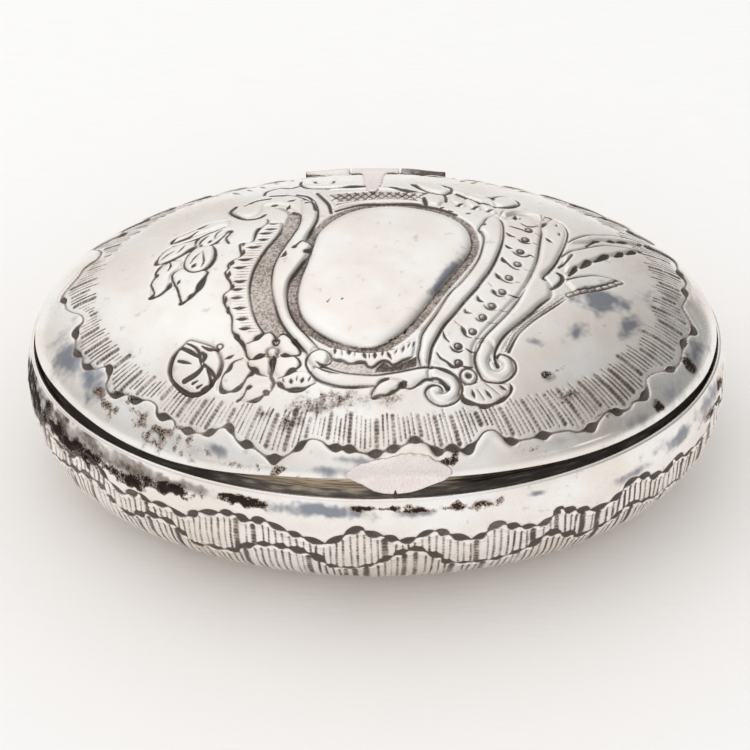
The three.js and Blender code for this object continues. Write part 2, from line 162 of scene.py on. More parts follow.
def knots(count, cell):
    """Cubic weights that spread a coarse row of numbers over a fine one."""
    place = np.arange(count) / cell
    first = np.floor(place).astype(int)
    t = place - first
    weights = np.zeros((count, int(count / cell) + 4), np.float32)
    parts = ((1 - t) ** 3, 3 * t ** 3 - 6 * t ** 2 + 4, -3 * t ** 3 + 3 * t ** 2 + 3 * t + 1, t ** 3)
    for i, part in enumerate(parts):
        weights[np.arange(count), first + i] = part / 6
    return weights


def noise(shape, cell, seed):
    """Smooth noise, mostly from -1 to 1, with blobs a given number of cells across."""
    down, across = knots(shape[0], cell), knots(shape[1], cell)
    grid = np.random.default_rng(seed).uniform(-2, 2, (down.shape[1], across.shape[1]))
    return down @ grid.astype(np.float32) @ across.T


def blurred(field, cells):
    """The field averaged over a few cells each way, three times over."""
    half = max(1, round(cells))
    for axis in (0, 1):
        for _ in range(3):
            pad = [(0, 0), (0, 0)]
            pad[axis] = (half + 1, half)
            total = np.cumsum(np.pad(field, pad, mode="edge"), axis, dtype=np.float64)
            upper = np.take(total, range(2 * half + 1, total.shape[axis]), axis)
            lower = np.take(total, range(total.shape[axis] - 2 * half - 1), axis)
            field = ((upper - lower) / (2 * half + 1)).astype(np.float32)
    return field


# The usual width of a drawn line and of its ends. A line round a form lies a little outside it
LINE = 0.29
LINE_END = 0.12
LINE_OFFSET = 0.07
LINE_WIDTH = 0.17
LINE_REACH = 0.7


class Chasing:
    """A sheet of metal seen flat, with its height, darkness, matting, film and crust at each place. In
    places the film is a painted reflection.
    """

    def __init__(self, left, right, low, high, step):
        self.step = step
        self.xs = np.arange(left, right, step, dtype=np.float32)
        self.ys = np.arange(low, high, step, dtype=np.float32)
        self.height = np.zeros((len(self.ys), len(self.xs)), np.float32)
        self.dark = np.zeros_like(self.height)
        self.matt = np.zeros_like(self.height)
        self.film_and_reflection = np.zeros_like(self.height)
        self.crust = np.zeros_like(self.height)
        shape = self.height.shape
        self.blots = noise(shape, 0.9 / step, 71) + 0.6 * noise(shape, 0.35 / step, 72)

    def near(self, line, reach):
        """The window round a line, and in it the distance from the line and the share along it."""
        rows = slice(*np.searchsorted(self.ys, (line[:, 1].min() - reach, line[:, 1].max() + reach)))
        cols = slice(*np.searchsorted(self.xs, (line[:, 0].min() - reach, line[:, 0].max() + reach)))
        xs, ys = self.xs[cols], self.ys[rows]
        distance = np.full((len(ys), len(xs)), reach, np.float32)
        along = np.zeros_like(distance)
        lengths = np.hypot(*np.diff(line, axis=0).T)
        passed = np.cumsum(lengths) - lengths
        for start, end, length, before in zip(line[:-1], line[1:], lengths, passed):
            if length == 0:
                continue
            lows, highs = np.minimum(start, end) - reach, np.maximum(start, end) + reach
            i = slice(*np.searchsorted(ys, (lows[1], highs[1])))
            j = slice(*np.searchsorted(xs, (lows[0], highs[0])))
            dx, dy = (end - start) / length
            x, y = xs[None, j] - start[0], ys[i, None] - start[1]
            t = np.clip(x * dx + y * dy, 0, length)
            d = np.sqrt((x - t * dx) ** 2 + (y - t * dy) ** 2)
            closer = d < distance[i, j]
            distance[i, j][closer] = d[closer]
            along[i, j][closer] = ((before + t) / lengths.sum())[closer]
        return (rows, cols), distance, along

    def inside(self, outline, window):
        """Which places of a window lie inside a closed outline."""
        ys, xs = self.ys[window[0]], self.xs[window[1]]
        crossings = np.zeros((len(ys), len(xs) + 1), np.int32)
        for start, end in zip(outline, np.roll(outline, -1, 0)):
            rows = np.arange(*np.searchsorted(ys, sorted((start[1], end[1]))))
            if len(rows):
                slope = (end[0] - start[0]) / (end[1] - start[1])
                at = start[0] + (ys[rows] - start[1]) * slope
                np.add.at(crossings, (rows, np.searchsorted(xs, at)), 1)
        return np.cumsum(crossings, 1)[:, :-1] % 2 == 1

    def lay(self, window, signed, rise, line, dark, matt):
        """Lays a raised form down, inside where signed is negative, with a chased line round it."""
        inside = signed < 0
        chased = np.exp(-((signed - LINE_OFFSET) / LINE_WIDTH) ** 2)
        height, shade, grain = self.height[window], self.dark[window], self.matt[window]
        height[...] = np.where(inside, rise, height - line * chased)
        shade[...] = np.where(inside, dark * np.exp(-(signed / LINE_WIDTH) ** 2) * 0.6,
                              np.maximum(shade, dark * chased))
        grain[...] = np.where(inside, matt, grain)

    def pad(self, outline, height, rounding, level=0.0, line=0.06, dark=0.3, matt=0.0):
        """Raises what lies inside an outline, rounded along its edge."""
        reach = max(rounding, LINE_REACH)
        window, distance, _ = self.near(np.vstack([outline, outline[:1]]), reach)
        inside = self.inside(outline, window)
        share = np.clip(distance / rounding, 0, 1)
        rise = level + height * (1 - (1 - share) ** 2.4)
        self.lay(window, np.where(inside, -distance, distance), rise, line, dark, matt)

    def mound(self, points, *sizes, **finish):
        """Raises what lies inside a smooth closed line through points."""
        self.pad(spline(without_widths(points), closed=True), *sizes, **finish)

    def leaf(self, upper, lower, *sizes, **finish):
        """Raises what lies between two lines that run the same way."""
        self.pad(between(upper, lower), *sizes, **finish)

    def ridge(self, points, widths, height, level=0.0, line=0.06, dark=0.3, matt=0.0):
        """Raises a rounded ridge along a line, whose width runs through the given widths."""
        path = spline(points)
        window, distance, along = self.near(path, max(widths) / 2 + LINE_REACH)
        half = np.interp(along, np.linspace(0, 1, len(widths)), widths) / 2
        share = np.clip(distance / half, 0, 1)
        rise = level + height * np.sqrt(half / half.max()) * (1 - share ** 3.2)
        self.lay(window, distance - half, rise, line, dark, matt)

    def stroke(self, points, depth=0.085, dark=0.86, closed=False):
        """Sinks a line, which swells and darkens where one of its points names a width."""
        ends = () if closed else (0, len(points) - 1)
        usual = [LINE_END if i in ends else LINE for i in range(len(points))]
        path = spline([(*p, width)[:3] for p, width in zip(points, usual)], closed)
        if closed:
            path = np.vstack([path, path[:1]])
        place, widths = path[:, :2], np.maximum(path[:, 2], 0.06)
        passed = distance_along(place)
        window, distance, along = self.near(place, widths.max() / 2 + 0.25)
        half = np.interp(along, passed / passed[-1], widths) / 2
        sunk = smooth(half + 0.09 - distance, 0, 0.17)
        swell = smooth(half, 0.1, 0.3)
        bowl = np.clip(1 - (distance / (half + 0.09)) ** 2, 0, 1)
        self.height[window] -= depth * (sunk + 1.6 * swell * bowl)
        soiled = (dark + (1 - dark) * swell) * sunk * (1 - 0.2 * swell * bowl)
        self.dark[window] = np.maximum(self.dark[window], soiled)
        self.matt[window] = np.maximum(self.matt[window], 0.3 * swell * sunk)

    def strokes(self, lines):
        for line in lines:
            self.stroke(line)

    def gouge(self, start, end, width, depth, dark, matt=0.0, beads=0.0):
        """Sinks a straight, flat-bottomed groove, in short cuts of a length if one is given."""
        window, distance, along = self.near(np.array([start, end], float), width)
        sunk = np.exp(-(distance / (width / 2)) ** 4)
        if beads:
            sunk = sunk * (0.86 + 0.14 * np.cos(along * math.dist(start, end) * 2 * math.pi / beads))
        self.height[window] -= depth * sunk
        soiled = np.clip(0.94 + 0.26 * self.blots[window], 0.6, 1.1) * dark
        self.dark[window] = np.maximum(self.dark[window], soiled * sunk)
        self.matt[window] = np.maximum(self.matt[window], matt * sunk)

    def punch(self, x, y, length, width, turn=0.0, depth=0.3, dark=0.9):
        """Sinks a lens-shaped or round punch mark, turned by an angle in radians."""
        reach = max(length, width)
        window, _, _ = self.near(np.array([(x - 0.01, y), (x + 0.01, y)]), reach)
        dx, dy = self.xs[window[1]][None] - x, self.ys[window[0]][:, None] - y
        u = (dx * math.cos(turn) + dy * math.sin(turn)) / (length / 2)
        v = (dy * math.cos(turn) - dx * math.sin(turn)) / (width / 2)
        sunk = np.exp(-(u * u + v * v) ** 1.5)
        self.height[window] -= depth * sunk
        self.dark[window] = np.maximum(self.dark[window], dark * sunk)

    def sink(self, outline, depth, edge, dark=0.0, matt=0.0):
        """Lowers what lies inside an outline, with a sloping edge."""
        window, distance, _ = self.near(np.vstack([outline, outline[:1]]), edge)
        share = np.where(self.inside(outline, window), smooth(distance, 0, edge), 0)
        self.height[window] -= depth * share
        self.dark[window] = np.maximum(self.dark[window], dark * share)
        self.matt[window] = np.maximum(self.matt[window], matt * share)

    def stain(self, field, x, y, length, width, turn=0.0, amount=1.0):
        """Spreads a ragged stain over an oval, turned by an angle in degrees. Film, with the reflection
        painted along with it, has a softer edge.
        """
        reach = 0.8 * max(length, width)
        window, _, _ = self.near(np.array([(x - 0.01, y), (x + 0.01, y)]), reach)
        dx, dy = self.xs[window[1]][None] - x, self.ys[window[0]][:, None] - y
        c, s = math.cos(math.radians(turn)), math.sin(math.radians(turn))
        away = np.hypot((dx * c + dy * s) / (length / 2), (dy * c - dx * s) / (width / 2))
        ragged, edge = (0.2, 1.5) if field is self.film_and_reflection else (0.34, 1.1)
        spread = smooth(1.25 - away + ragged * self.blots[window], 0, edge) * amount
        field[window] = np.maximum(field[window], spread)

    def stains(self, field, marks):
        for mark in marks:
            self.stain(field, *mark)

    def sample(self, field, x, y):
        """The field's value at given places, between its cells."""
        u = np.clip((x - self.xs[0]) / self.step, 0, len(self.xs) - 1.001)
        v = np.clip((y - self.ys[0]) / self.step, 0, len(self.ys) - 1.001)
        i, j = v.astype(int), u.astype(int)
        s, t = v - i, u - j
        return ((field[i, j] * (1 - t) + field[i, j + 1] * t) * (1 - s)
                + (field[i + 1, j] * (1 - t) + field[i + 1, j + 1] * t) * s)

    def finish(self, x, y):
        """The darkness, matting, film and crust at given places, side by side."""
        fields = (self.dark, self.matt, self.film_and_reflection, self.crust)
        return np.column_stack([self.sample(field, x, y) for field in fields])


# The drawing on the lid, in millimetres from its middle. A third number is the line's width there

PANEL = [
    (2, 12.2), (6, 11.6), (9.5, 10), (11.8, 7.5), (12.6, 4.5), (12.2, 1.5), (10.5, -2), (8.3, -6),
    (6.2, -10), (4, -13.3), (1, -15.8), (-2, -16), (-5.5, -14.5), (-8.5, -11.5), (-9.6, -8), (-9.4, -4),
    (-8.5, 0), (-8, 3), (-7.3, 6), (-5, 9.3), (-2, 11.4),
]
BELT_FRONT = [
    (-37, 10), (-37.2, 8), (-38.8, 6.8), (-39.5, 5), (-40.8, 3), (-41.4, 1.7), (-40.8, -0.5), (-40.5, -1.6),
    (-39.6, -2.8), (-38.2, -4.2), (-37.9, -5.5), (-38.8, -6.5), (-38.6, -8.5), (-38.5, -10.2),
    (-37.5, -11.5), (-37.2, -12.6), (-35.6, -13.8), (-33.9, -14), (-33.7, -15.5), (-34, -16.4),
    (-33.3, -17.6), (-31, -18.4), (-30, -19.3), (-28.3, -19.7), (-27.2, -20.6), (-27, -21.6), (-25, -22.6),
    (-24.4, -23.5), (-21.5, -24.8), (-20, -25), (-18, -24.8), (-17.2, -25.8), (-16.5, -26.7), (-15, -27.3),
    (-12.8, -28.7), (-11, -29), (-9.3, -28.5), (-7.5, -27.7), (-6, -28), (-5, -28.6), (-2.5, -28.9),
    (-1, -29.3), (0.6, -29.4), (2, -29.1), (4, -28.6), (5.5, -27.9), (7, -28.2), (8.5, -28.8), (10, -28.3),
    (12, -28.3), (13.2, -27.3), (14.2, -26.2), (15.5, -25.9), (17.2, -26.6), (19.5, -26), (21.5, -25.2),
    (24.5, -24), (26, -23.7), (28, -22.5), (29.7, -20.6), (31, -20.1), (32.5, -19.3), (33.2, -18.3),
    (34.3, -17.5), (35, -16.3), (34.9, -15), (36, -13.8), (38, -12.4), (39.5, -10.5), (40.2, -7),
    (41, -5.5), (41.8, -4.2), (40.8, -2.2), (40.3, -1), (41, 1.5), (40.8, 3.2), (41.2, 5.3), (40.3, 7.5),
    (39.9, 11),
]
BELT_SWELLS = [
    (-41, 0.8), (-38.8, -7), (-38.3, -10.5), (-36.7, -13), (-33.6, -14.4), (-32.5, -17.8), (-30, -19.3),
    (-26.3, -22), (-23, -24), (-20.2, -25), (-17.7, -25), (-15.5, -27.1), (-12, -29), (-8.7, -28.3),
    (-4.3, -28.8), (-2.6, -28.9), (0.7, -29.4), (2.9, -29), (5.6, -27.9), (8.3, -28.8), (10.3, -28.4),
    (12.3, -28.1), (17.5, -26.4), (21.6, -25.2), (27.6, -22.6), (31, -20.1), (34.6, -16.9), (38.2, -12.2),
    (40.2, -7.2), (41.5, -4.4), (40.9, 2.6), (40.6, 7),
]
LADDER_OUTER = [
    (-14.3, 10), (-14.3, 8.9), (-15, 7.9), (-15.7, 6.6), (-15.9, 5.2), (-16.2, 4.5), (-17.6, 4.4),
    (-17.6, 3.2), (-17.4, 1.6), (-18.3, 0.9), (-19, 0.1), (-18.9, -0.9), (-19.3, -1.6), (-19, -2.6),
    (-18.4, -4), (-18.4, -5), (-19.2, -5.9), (-19.2, -7), (-18.9, -8), (-18, -10), (-17.9, -11.4),
    (-17.7, -12.6), (-16.3, -14.6, 0.5), (-15.9, -16),
]
STRIP_OUTER = [
    (-12.2, 8.6), (-12.4, 6.6), (-13, 5), (-14, 3), (-14.9, 0.6), (-15.6, -2), (-15.9, -5), (-15.6, -8),
    (-14.8, -11), (-13.4, -13.6), (-12.2, -15.2),
]
STRIP_INNER = [
    (-10.9, 11.2, 0.5), (-10, 10.4), (-9.9, 9.5), (-10, 8.2), (-10.4, 6.6), (-11, 5), (-11.6, 3.5),
    (-12.2, 1.8), (-12.7, 0.2), (-13.1, -2), (-13.1, -5), (-12.6, -8), (-11.8, -11), (-10.6, -13.4),
    (-9, -15.6), (-8, -16.9),
]
BAND_INNER = [
    (-8.9, 0.4), (-9.4, -0.8), (-10, -2.2), (-10.6, -3.6, 0.36), (-10.9, -5, 0.4), (-11, -7), (-10.6, -9.6),
    (-9.6, -12), (-8.2, -14), (-6.6, -16.2),
]
HOOK_LEFT = [
    (21.9, 8.9), (21.9, 7.4), (21.7, 5.6), (21.5, 3.7), (21.25, 1.6), (20.8, -0.35), (20.1, -2.6),
    (19.3, -4.7),
]
HOOK_RIGHT = [
    (20.5, 12.7), (22.5, 12.4), (23.5, 12), (24.4, 11.4), (25.1, 10.1), (25.4, 8.6), (25.2, 6.85),
    (24.8, 5), (24.3, 3.2), (23.6, 1.05), (22.8, -0.55), (22, -1.8), (22, -2.4, 0.8),
]
INNER_LEFT = [
    (15.8, 11), (14.8, 10.2), (14.3, 9), (13.65, 7.25), (14.1, 6.3), (14.3, 5), (14, 2.7), (13.5, 0.5),
    (12.5, -2), (11.2, -4.4), (9.8, -6.5), (8.1, -10.4), (6.85, -12.85), (6.3, -14.2), (6.1, -15.8),
    (5.9, -17.3), (6.2, -18.9),
]
INNER_RIGHT = [
    (15.8, 11), (16.4, 10.15), (16.8, 9), (16.9, 7.2), (16.8, 5.3), (16.4, 3), (15.75, 0.45), (14.95, -1.8),
    (13.8, -4.2), (13.3, -5.3), (11.6, -8.1), (10.4, -10.2), (9.15, -12.2), (8.3, -14.1), (7.6, -15.9),
    (7.3, -17.8), (7.2, -18.9),
]
SCALE_DOTS = [
    (20.2, 8), (19.7, 5.6), (19, 2.8), (18.6, 0.05), (17.45, -2.85), (16.55, -5.7), (15.2, -8.4),
    (14, -10.5), (12.7, -13), (10.85, -15.5), (10.9, -18),
]
SCROLL_INNER = [
    (19.5, -5), (18.4, -7.3), (17.3, -9.3), (15.8, -11.5), (14.2, -13.8), (13.5, -15.5), (13, -16.8),
    (13.15, -18.2), (13.6, -19.3), (14.2, -20.1), (15.8, -20.2), (17.15, -19.6), (18.1, -18.4),
    (18.1, -17.15), (17.3, -16.3), (16.2, -16.1), (15.85, -16.5, 0.4),
]
SCROLL_OUTER = [
    (22.7, -5.8), (21.6, -7.15), (20.1, -9.15), (18.1, -11.5), (16.7, -13.3), (15.8, -15.15), (15.5, -16.7),
    (15.9, -17.9, 0.5),
]
STEM = [(24.8, -5.5), (23.5, -7), (21.6, -9), (19.8, -11), (18.4, -13), (17.3, -15.6, 0.4)]
BOTTOM_UPPER = [
    (-7, -18.2), (-6.4, -18.6), (-5.6, -19), (-4.5, -19.5), (-3, -19.9), (-1.3, -20.1), (0.5, -20.2),
    (2, -20), (3.5, -19.7), (5, -19.3), (6.2, -19), (8.1, -18.9), (9.6, -19.2), (10.7, -19.9),
    (11.3, -20.9), (11.4, -21.9), (10.9, -23), (9.8, -23.7), (8.5, -23.9), (7.3, -23.3), (6.8, -22.4),
    (7.2, -21.6), (7.9, -21.3), (8.7, -21.5), (9.1, -22.1),
]
BOTTOM_LOWER = [
    (-5, -18.1), (-5.1, -17.3), (-5.6, -16.7), (-6.3, -16.4), (-7, -16.5), (-7.8, -17), (-8.2, -17.8),
    (-8.1, -18.8), (-7.3, -20.1), (-6.5, -20.8), (-5.4, -21.3), (-4, -21.7), (-2.5, -21.85, 0.34),
    (-1, -21.8, 0.34), (0.8, -21.7),
]
CURL_LOWER = [
    (4.3, -21.9), (4.9, -22), (5.5, -21.7), (6.1, -21.2), (6.8, -20.7), (7.6, -20.5), (8.3, -20.5),
    (9, -20.9, 0.4), (9.6, -21.6, 0.6),
]


# Where the lid's belt ends inwards, and its middle, as shares of the way from the lid's middle to its edge
BELT_INNER = 0.822
BELT_MIDDLE = 0.87

# The least and the most that the belt's fine lines and hatched blocks measure across, their darkness
# and the gaps between them
FINE_WIDTHS = (0.22, 0.3)
FINE_DARKS = (0.56, 0.85)
BLOCK_WIDTHS = (0.58, 0.76)
BLOCK_DARKS = (0.54, 0.68)
BELT_GAPS = (0.26, 0.36)


def back_of_belt():
    """The part of the lid's scalloped line behind the cartouche, in the same rhythm as in front."""
    wobble = np.random.default_rng(11)
    angles = np.radians(np.arange(24.5, 157, 3.9))
    shares = np.where(np.arange(len(angles)) % 2, 0.945, 0.895) + wobble.uniform(-0.012, 0.012, len(angles))
    return [(LID_A * s * math.cos(a), LID_B * s * math.sin(a)) for a, s in zip(angles, shares)]


def lid_belt(sheet):
    """Fine lines and hatched blocks that run in from a scalloped, stepped line."""
    outline = spline(BELT_FRONT + back_of_belt(), closed=True)
    window, distance, _ = sheet.near(np.vstack([outline, outline[:1]]), 4.5)
    inside = sheet.inside(outline, window)
    sheet.height[window] -= np.where(inside, 0.22 * smooth(4.2 - distance, 0, 4), 0)
    sheet.height[window] += np.where(inside, 0, 0.05 * np.exp(-((distance - 0.6) / 0.4) ** 2))
    soiled = (0.12 + 0.1 * sheet.blots[window]) * smooth(4.6 - distance, 0, 1.2)
    sheet.dark[window] = np.where(inside, np.maximum(soiled, 0), 0)
    swells = np.array(BELT_SWELLS + back_of_belt()[::2])
    nearest = np.hypot(outline[:, :1] - swells[:, 0], outline[:, 1:] - swells[:, 1]).min(1)
    sheet.stroke(np.column_stack([outline, 0.2 + 0.7 * np.exp(-(nearest / 0.75) ** 2)]), 0.1, 0.7,
                 closed=True)
    turn = np.unwrap(np.arctan2(outline[:, 1] / LID_B, outline[:, 0] / LID_A)) % (2 * math.pi)
    share = np.hypot(outline[:, 0] / LID_A, outline[:, 1] / LID_B)
    order = np.argsort(turn)
    rng = np.random.default_rng(5)
    around = np.linspace(0, 2 * math.pi, 4000)
    length = distance_along(np.column_stack([LID_A * np.cos(around), LID_B * np.sin(around)])) * BELT_MIDDLE
    place, lines_left = 0.0, 3
    while place < length[-1] - 0.3:
        block = lines_left == 0
        lines_left = rng.integers(2, 5) if block else lines_left - 1
        width = rng.uniform(*(BLOCK_WIDTHS if block else FINE_WIDTHS))
        angle = np.interp(place + width / 2, length, around)
        outer = np.interp(angle, turn[order], share[order], period=2 * math.pi)
        outer -= rng.uniform(0.014, 0.024) + (0.004 if block else 0)
        inner = BELT_INNER + rng.uniform(-0.014, 0.016) + (0.004 if block else 0)
        ends = [(LID_A * s * math.cos(angle), LID_B * s * math.sin(angle)) for s in (outer, inner)]
        dark = rng.uniform(*(BLOCK_DARKS if block else FINE_DARKS))
        sheet.gouge(*ends, width, 0.06, dark, 0.6 if block else 0.2, beads=0.4)
        place += width + rng.uniform(*BELT_GAPS)


def crossing(lines):
    """Marks given by middle, length, width and turn, as short strokes that swell in their middle."""
    strokes = []
    for x, y, length, width, turn in lines:
        dx, dy = length / 2 * math.cos(math.radians(turn)), length / 2 * math.sin(math.radians(turn))
        strokes.append([(x - dx, y - dy, 0.06), (x, y, width), (x + dx, y + dy, 0.06)])
    return strokes


def heavier(lines, times):
    """The same lines, wider where they name no width."""
    return [[(p[0], p[1], p[2] if len(p) == 3 else times * LINE) for p in line] for line in lines]


BUD = [
    (-23.2, 4.6), (-24.2, 3.6), (-24.8, 2), (-24.8, 0.6), (-24.3, -0.4), (-23.5, -0.9), (-22.5, -0.8),
    (-21.6, -0.2, 0.36), (-21, 1, 0.42), (-20.8, 2.4, 0.42), (-21, 3.8, 0.36), (-21.4, 4.6),
]
BOUQUET = [
    [(-27, 6.4), (-26.9, 6.9, 0.6), (-26.3, 7.8), (-25, 8.4), (-23.8, 9.1), (-23.3, 9.2, 0.7), (-22, 10.2),
     (-20, 10.4)],
    [(-27, 6.4), (-26, 6.7), (-24.6, 7.3), (-23.5, 8.3)],
    [(-26.8, 5.8), (-25.5, 6), (-24.2, 6.4, 0.45), (-23, 7), (-22, 7.7), (-21, 8.2), (-20, 8.9)],
    [(-28.2, 2), (-28.7, 2.3, 0.6), (-28.4, 3.6), (-27.8, 4.7), (-26.9, 5.5), (-25.6, 5.9)],
    [(-28.2, 2), (-27.2, 2.2), (-26.2, 2.7), (-25.2, 3.4), (-24.2, 4.3, 0.45), (-23.4, 5)],
    [(-28, 2.6), (-27.3, 3.6), (-26.3, 4.4)], [(-26, 3.6), (-25.4, 4.6), (-25, 5.3)],
    [(-23.6, 4.6), (-23.6, 6), (-23.2, 6.6)], [(-23.1, 4.9), (-23, 5.8), (-22.5, 6.6), (-22, 7.1)],
    [(-21.2, 6.2), (-21.1, 7), (-20.8, 7.7), (-20.3, 8.2)],
    [(-21.8, 4.8), (-21, 5.1), (-20.2, 5.9), (-19.7, 6.8), (-19.4, 7.6, 0.42), (-19.1, 7.7, 0.6),
     (-19.2, 6.8), (-19.6, 6), (-19.3, 5, 0.4), (-19.1, 4.6)],
    [(-24, 0.7), (-23.5, 2), (-22.8, 3)], [(-22.5, 3.4), (-22.3, 1.8), (-22.2, 0.8), (-22.5, -0.2)],
    [(-27.6, 2), (-28.3, 1), (-28.6, 0), (-28.3, -0.5, 0.55), (-28.8, -1.2), (-29, -2), (-28.7, -3),
     (-28.4, -4), (-28.9, -4.6, 0.6), (-28.2, -4.6), (-27.6, -4.3), (-26.9, -3.6), (-26.5, -3, 0.6),
     (-26.4, -2.2)],
    [(-26.8, 2), (-26.6, 1), (-26.9, 0)],
    [(-25.1, 0.4), (-26, -0.3), (-26.3, -1), (-26, -2.4), (-25.5, -3.6), (-25.2, -4.6), (-24.8, -6.2),
     (-24.8, -6.6, 0.6), (-24, -6.2), (-23.5, -5.5, 0.5), (-22.9, -4.9), (-22.4, -3.7, 0.9), (-21.8, -2),
     (-21.6, -1.2), (-22.1, -0.7)],
    *crossing([(-22.9, 4.8, 0.9, 0.4, 70), (-21.8, 5.7, 0.9, 0.4, 60), (-23.5, 0.3, 1.2, 0.6, 60),
               (-25.3, -2.6, 1, 0.45, 70)]),
]


def bouquet(sheet):
    """A spray of leaves round a bud, on the left of the cartouche."""
    for upper, lower in (
        ([(-27, 6.4), (-26.3, 7.8), (-25, 8.4), (-22, 10.2), (-19.5, 10.4)],
         [(-27, 6.4), (-24.6, 7.2), (-22, 8.2), (-19.5, 9.2)]),
        ([(-28.6, 2.2), (-28.4, 3.6), (-26.9, 5.5), (-23.4, 6.6)],
         [(-28.6, 2.2), (-27.2, 2.2), (-25.2, 3.4), (-23.3, 5.2)]),
        ([(-28.9, -4.6), (-28.9, -2), (-28.3, 0.5), (-26.8, 2.1), (-25.4, 2.2)],
         [(-28.9, -4.6), (-27.6, -4.3), (-26.6, -3), (-26.6, -1), (-25.2, 1)]),
        ([(-24.8, -6.6), (-25.5, -3.6), (-26.3, -1), (-25.1, 0.4)],
         [(-24.8, -6.6), (-22.9, -4.9), (-21.6, -1.2), (-23.4, 0)]),
        ([(-22, 4.8), (-20.4, 7), (-19.4, 8)], [(-22, 4.8), (-19.8, 5.6), (-18.8, 7)]),
    ):
        sheet.leaf(upper, lower, 0.17, 0.7)
    sheet.mound(BUD, 0.26, 0.9)
    sheet.strokes([*BOUQUET, BUD])


FRONDS = [
    [(25.6, 6.7), (26.7, 7.9), (28.1, 9.1), (29.7, 9.8), (31.2, 10.5), (32.8, 10.9), (34.1, 11.1),
     (35.1, 10.8, 0.7)],
    [(27.8, 6.2), (28.9, 7.8)],
    [(24.6, 3.1), (25.65, 4.3), (27, 5.2), (28.6, 6.3), (30.2, 7.25), (31.8, 7.7), (33.5, 8.06),
     (34.7, 8.4, 0.5), (35.1, 8.5, 0.6)],
    [(34.4, 7.7), (34, 7.4, 0.75), (33.2, 6.6)], [(32.6, 6.3), (32.25, 5.9, 0.8), (31.6, 5.2)],
    [(30.6, 4.9), (30.1, 4.4, 0.85), (28.75, 2.95)], [(28.3, 2.8), (27.8, 2.3, 1.0), (26.9, 1.06)],
    [(26.3, 1), (26.05, 0.4, 0.7), (25.3, -0.95)],
    [(25.1, -1.8), (26.3, -1.1), (28.1, -0.3), (29.4, 0), (30.8, 0), (32.1, -0.15, 0.4)],
    [(26.05, -4.2), (27.5, -3.25, 0.6), (28.3, -2.9, 0.5), (29.2, -2.5), (30, -1.9, 0.6), (30.5, -1.6),
     (31.4, -0.3)],
    [(25.8, 3.35), (25, 1.7), (24, 0.4)],
    *crossing([(31.2, 8.8, 1.3, 0.5, 15), (32.65, 9.4, 1.8, 0.45, 25), (29.3, 8, 1.0, 0.35, 30)]),
]


def fronds(sheet):
    """Three long leaves that grow out to the right, and a beaded stem below them."""
    for upper, lower in (
        (FRONDS[0],
         [(25.6, 6.2), (27.8, 7), (29.8, 8.4), (31.2, 8.8), (32.7, 9.4), (34.4, 10.1), (35.1, 10.8)]),
        (FRONDS[2],
         [(24.8, -0.6), (26, 0.4), (27.8, 2.3), (30.1, 4.4), (32.2, 5.9), (34, 7.4), (35.1, 8.5)]),
        (FRONDS[8],
         [(24.9, -2.6), (26, -3.9), (27.5, -3.25), (30, -1.9), (31.4, -0.4), (32.1, -0.15)]),
    ):
        sheet.leaf(upper, lower, 0.24, 0.6)
    beaded = [(p[0] - 0.5, p[1] + 0.25) for p in STEM]
    sheet.strokes([*heavier(FRONDS, 1.25), STEM, [(x, y, 0.5) for x, y in beaded]])
    for x, y in evenly([(25.4, -4.6), (27, -3.6), (28.8, -2.75), (30.4, -1.7), (31.7, -0.6)], 8):
        sheet.ridge([(x - 0.3, y - 0.2), (x + 0.3, y + 0.2)], [0.5, 0.5], 0.12, line=0.04, dark=0.9)
    for x, y in evenly(beaded, 34):
        sheet.ridge([(x - 0.06, y), (x + 0.06, y)], [0.34, 0.34], 0.14, level=0.02, line=0.02, dark=0.0)


LADDER = [
    [(-14.3, 10), (-14.3, 8.9), (-15, 7.9), (-15.3, 7.7, 0.6), (-15.7, 6.6, 0.5), (-15.9, 5.2),
     (-16.2, 4.5), (-17.2, 4.6)],
    *crossing([(-17.2, 4.1, 1.2, 0.45, 90), (-17.1, 2.2, 1.5, 0.5, 90), (-18.5, 0.1, 1.4, 0.7, 80),
               (-18.7, -2.2, 1.3, 0.5, 90), (-18.1, -4.7, 1.1, 0.5, 90), (-18.9, -7, 1.5, 0.5, 90),
               (-18.5, -8.8, 1.3, 0.45, 85), (-17.1, -13.3, 1.6, 0.6, -60),
               *((x, y, 1.25 * length, 0.55, 0) for x, y, length in (
                   (-15.8, 3.2, 1.6), (-16.8, 0.6, 1.7), (-17.4, -1, 1.5), (-17.2, -3.8, 1.5),
                   (-17.5, -5.3, 1.4), (-17.5, -6.8, 1.4), (-17, -8.7, 1.6), (-13.4, 8.4, 1.3),
                   (-13.7, 7.1, 1.4), (-14.4, 6.2, 1.6), (-14.6, 4.8, 1.3), (-16.6, -10.6, 1.4),
                   (-16.2, -12.2, 1.4)))]),
]


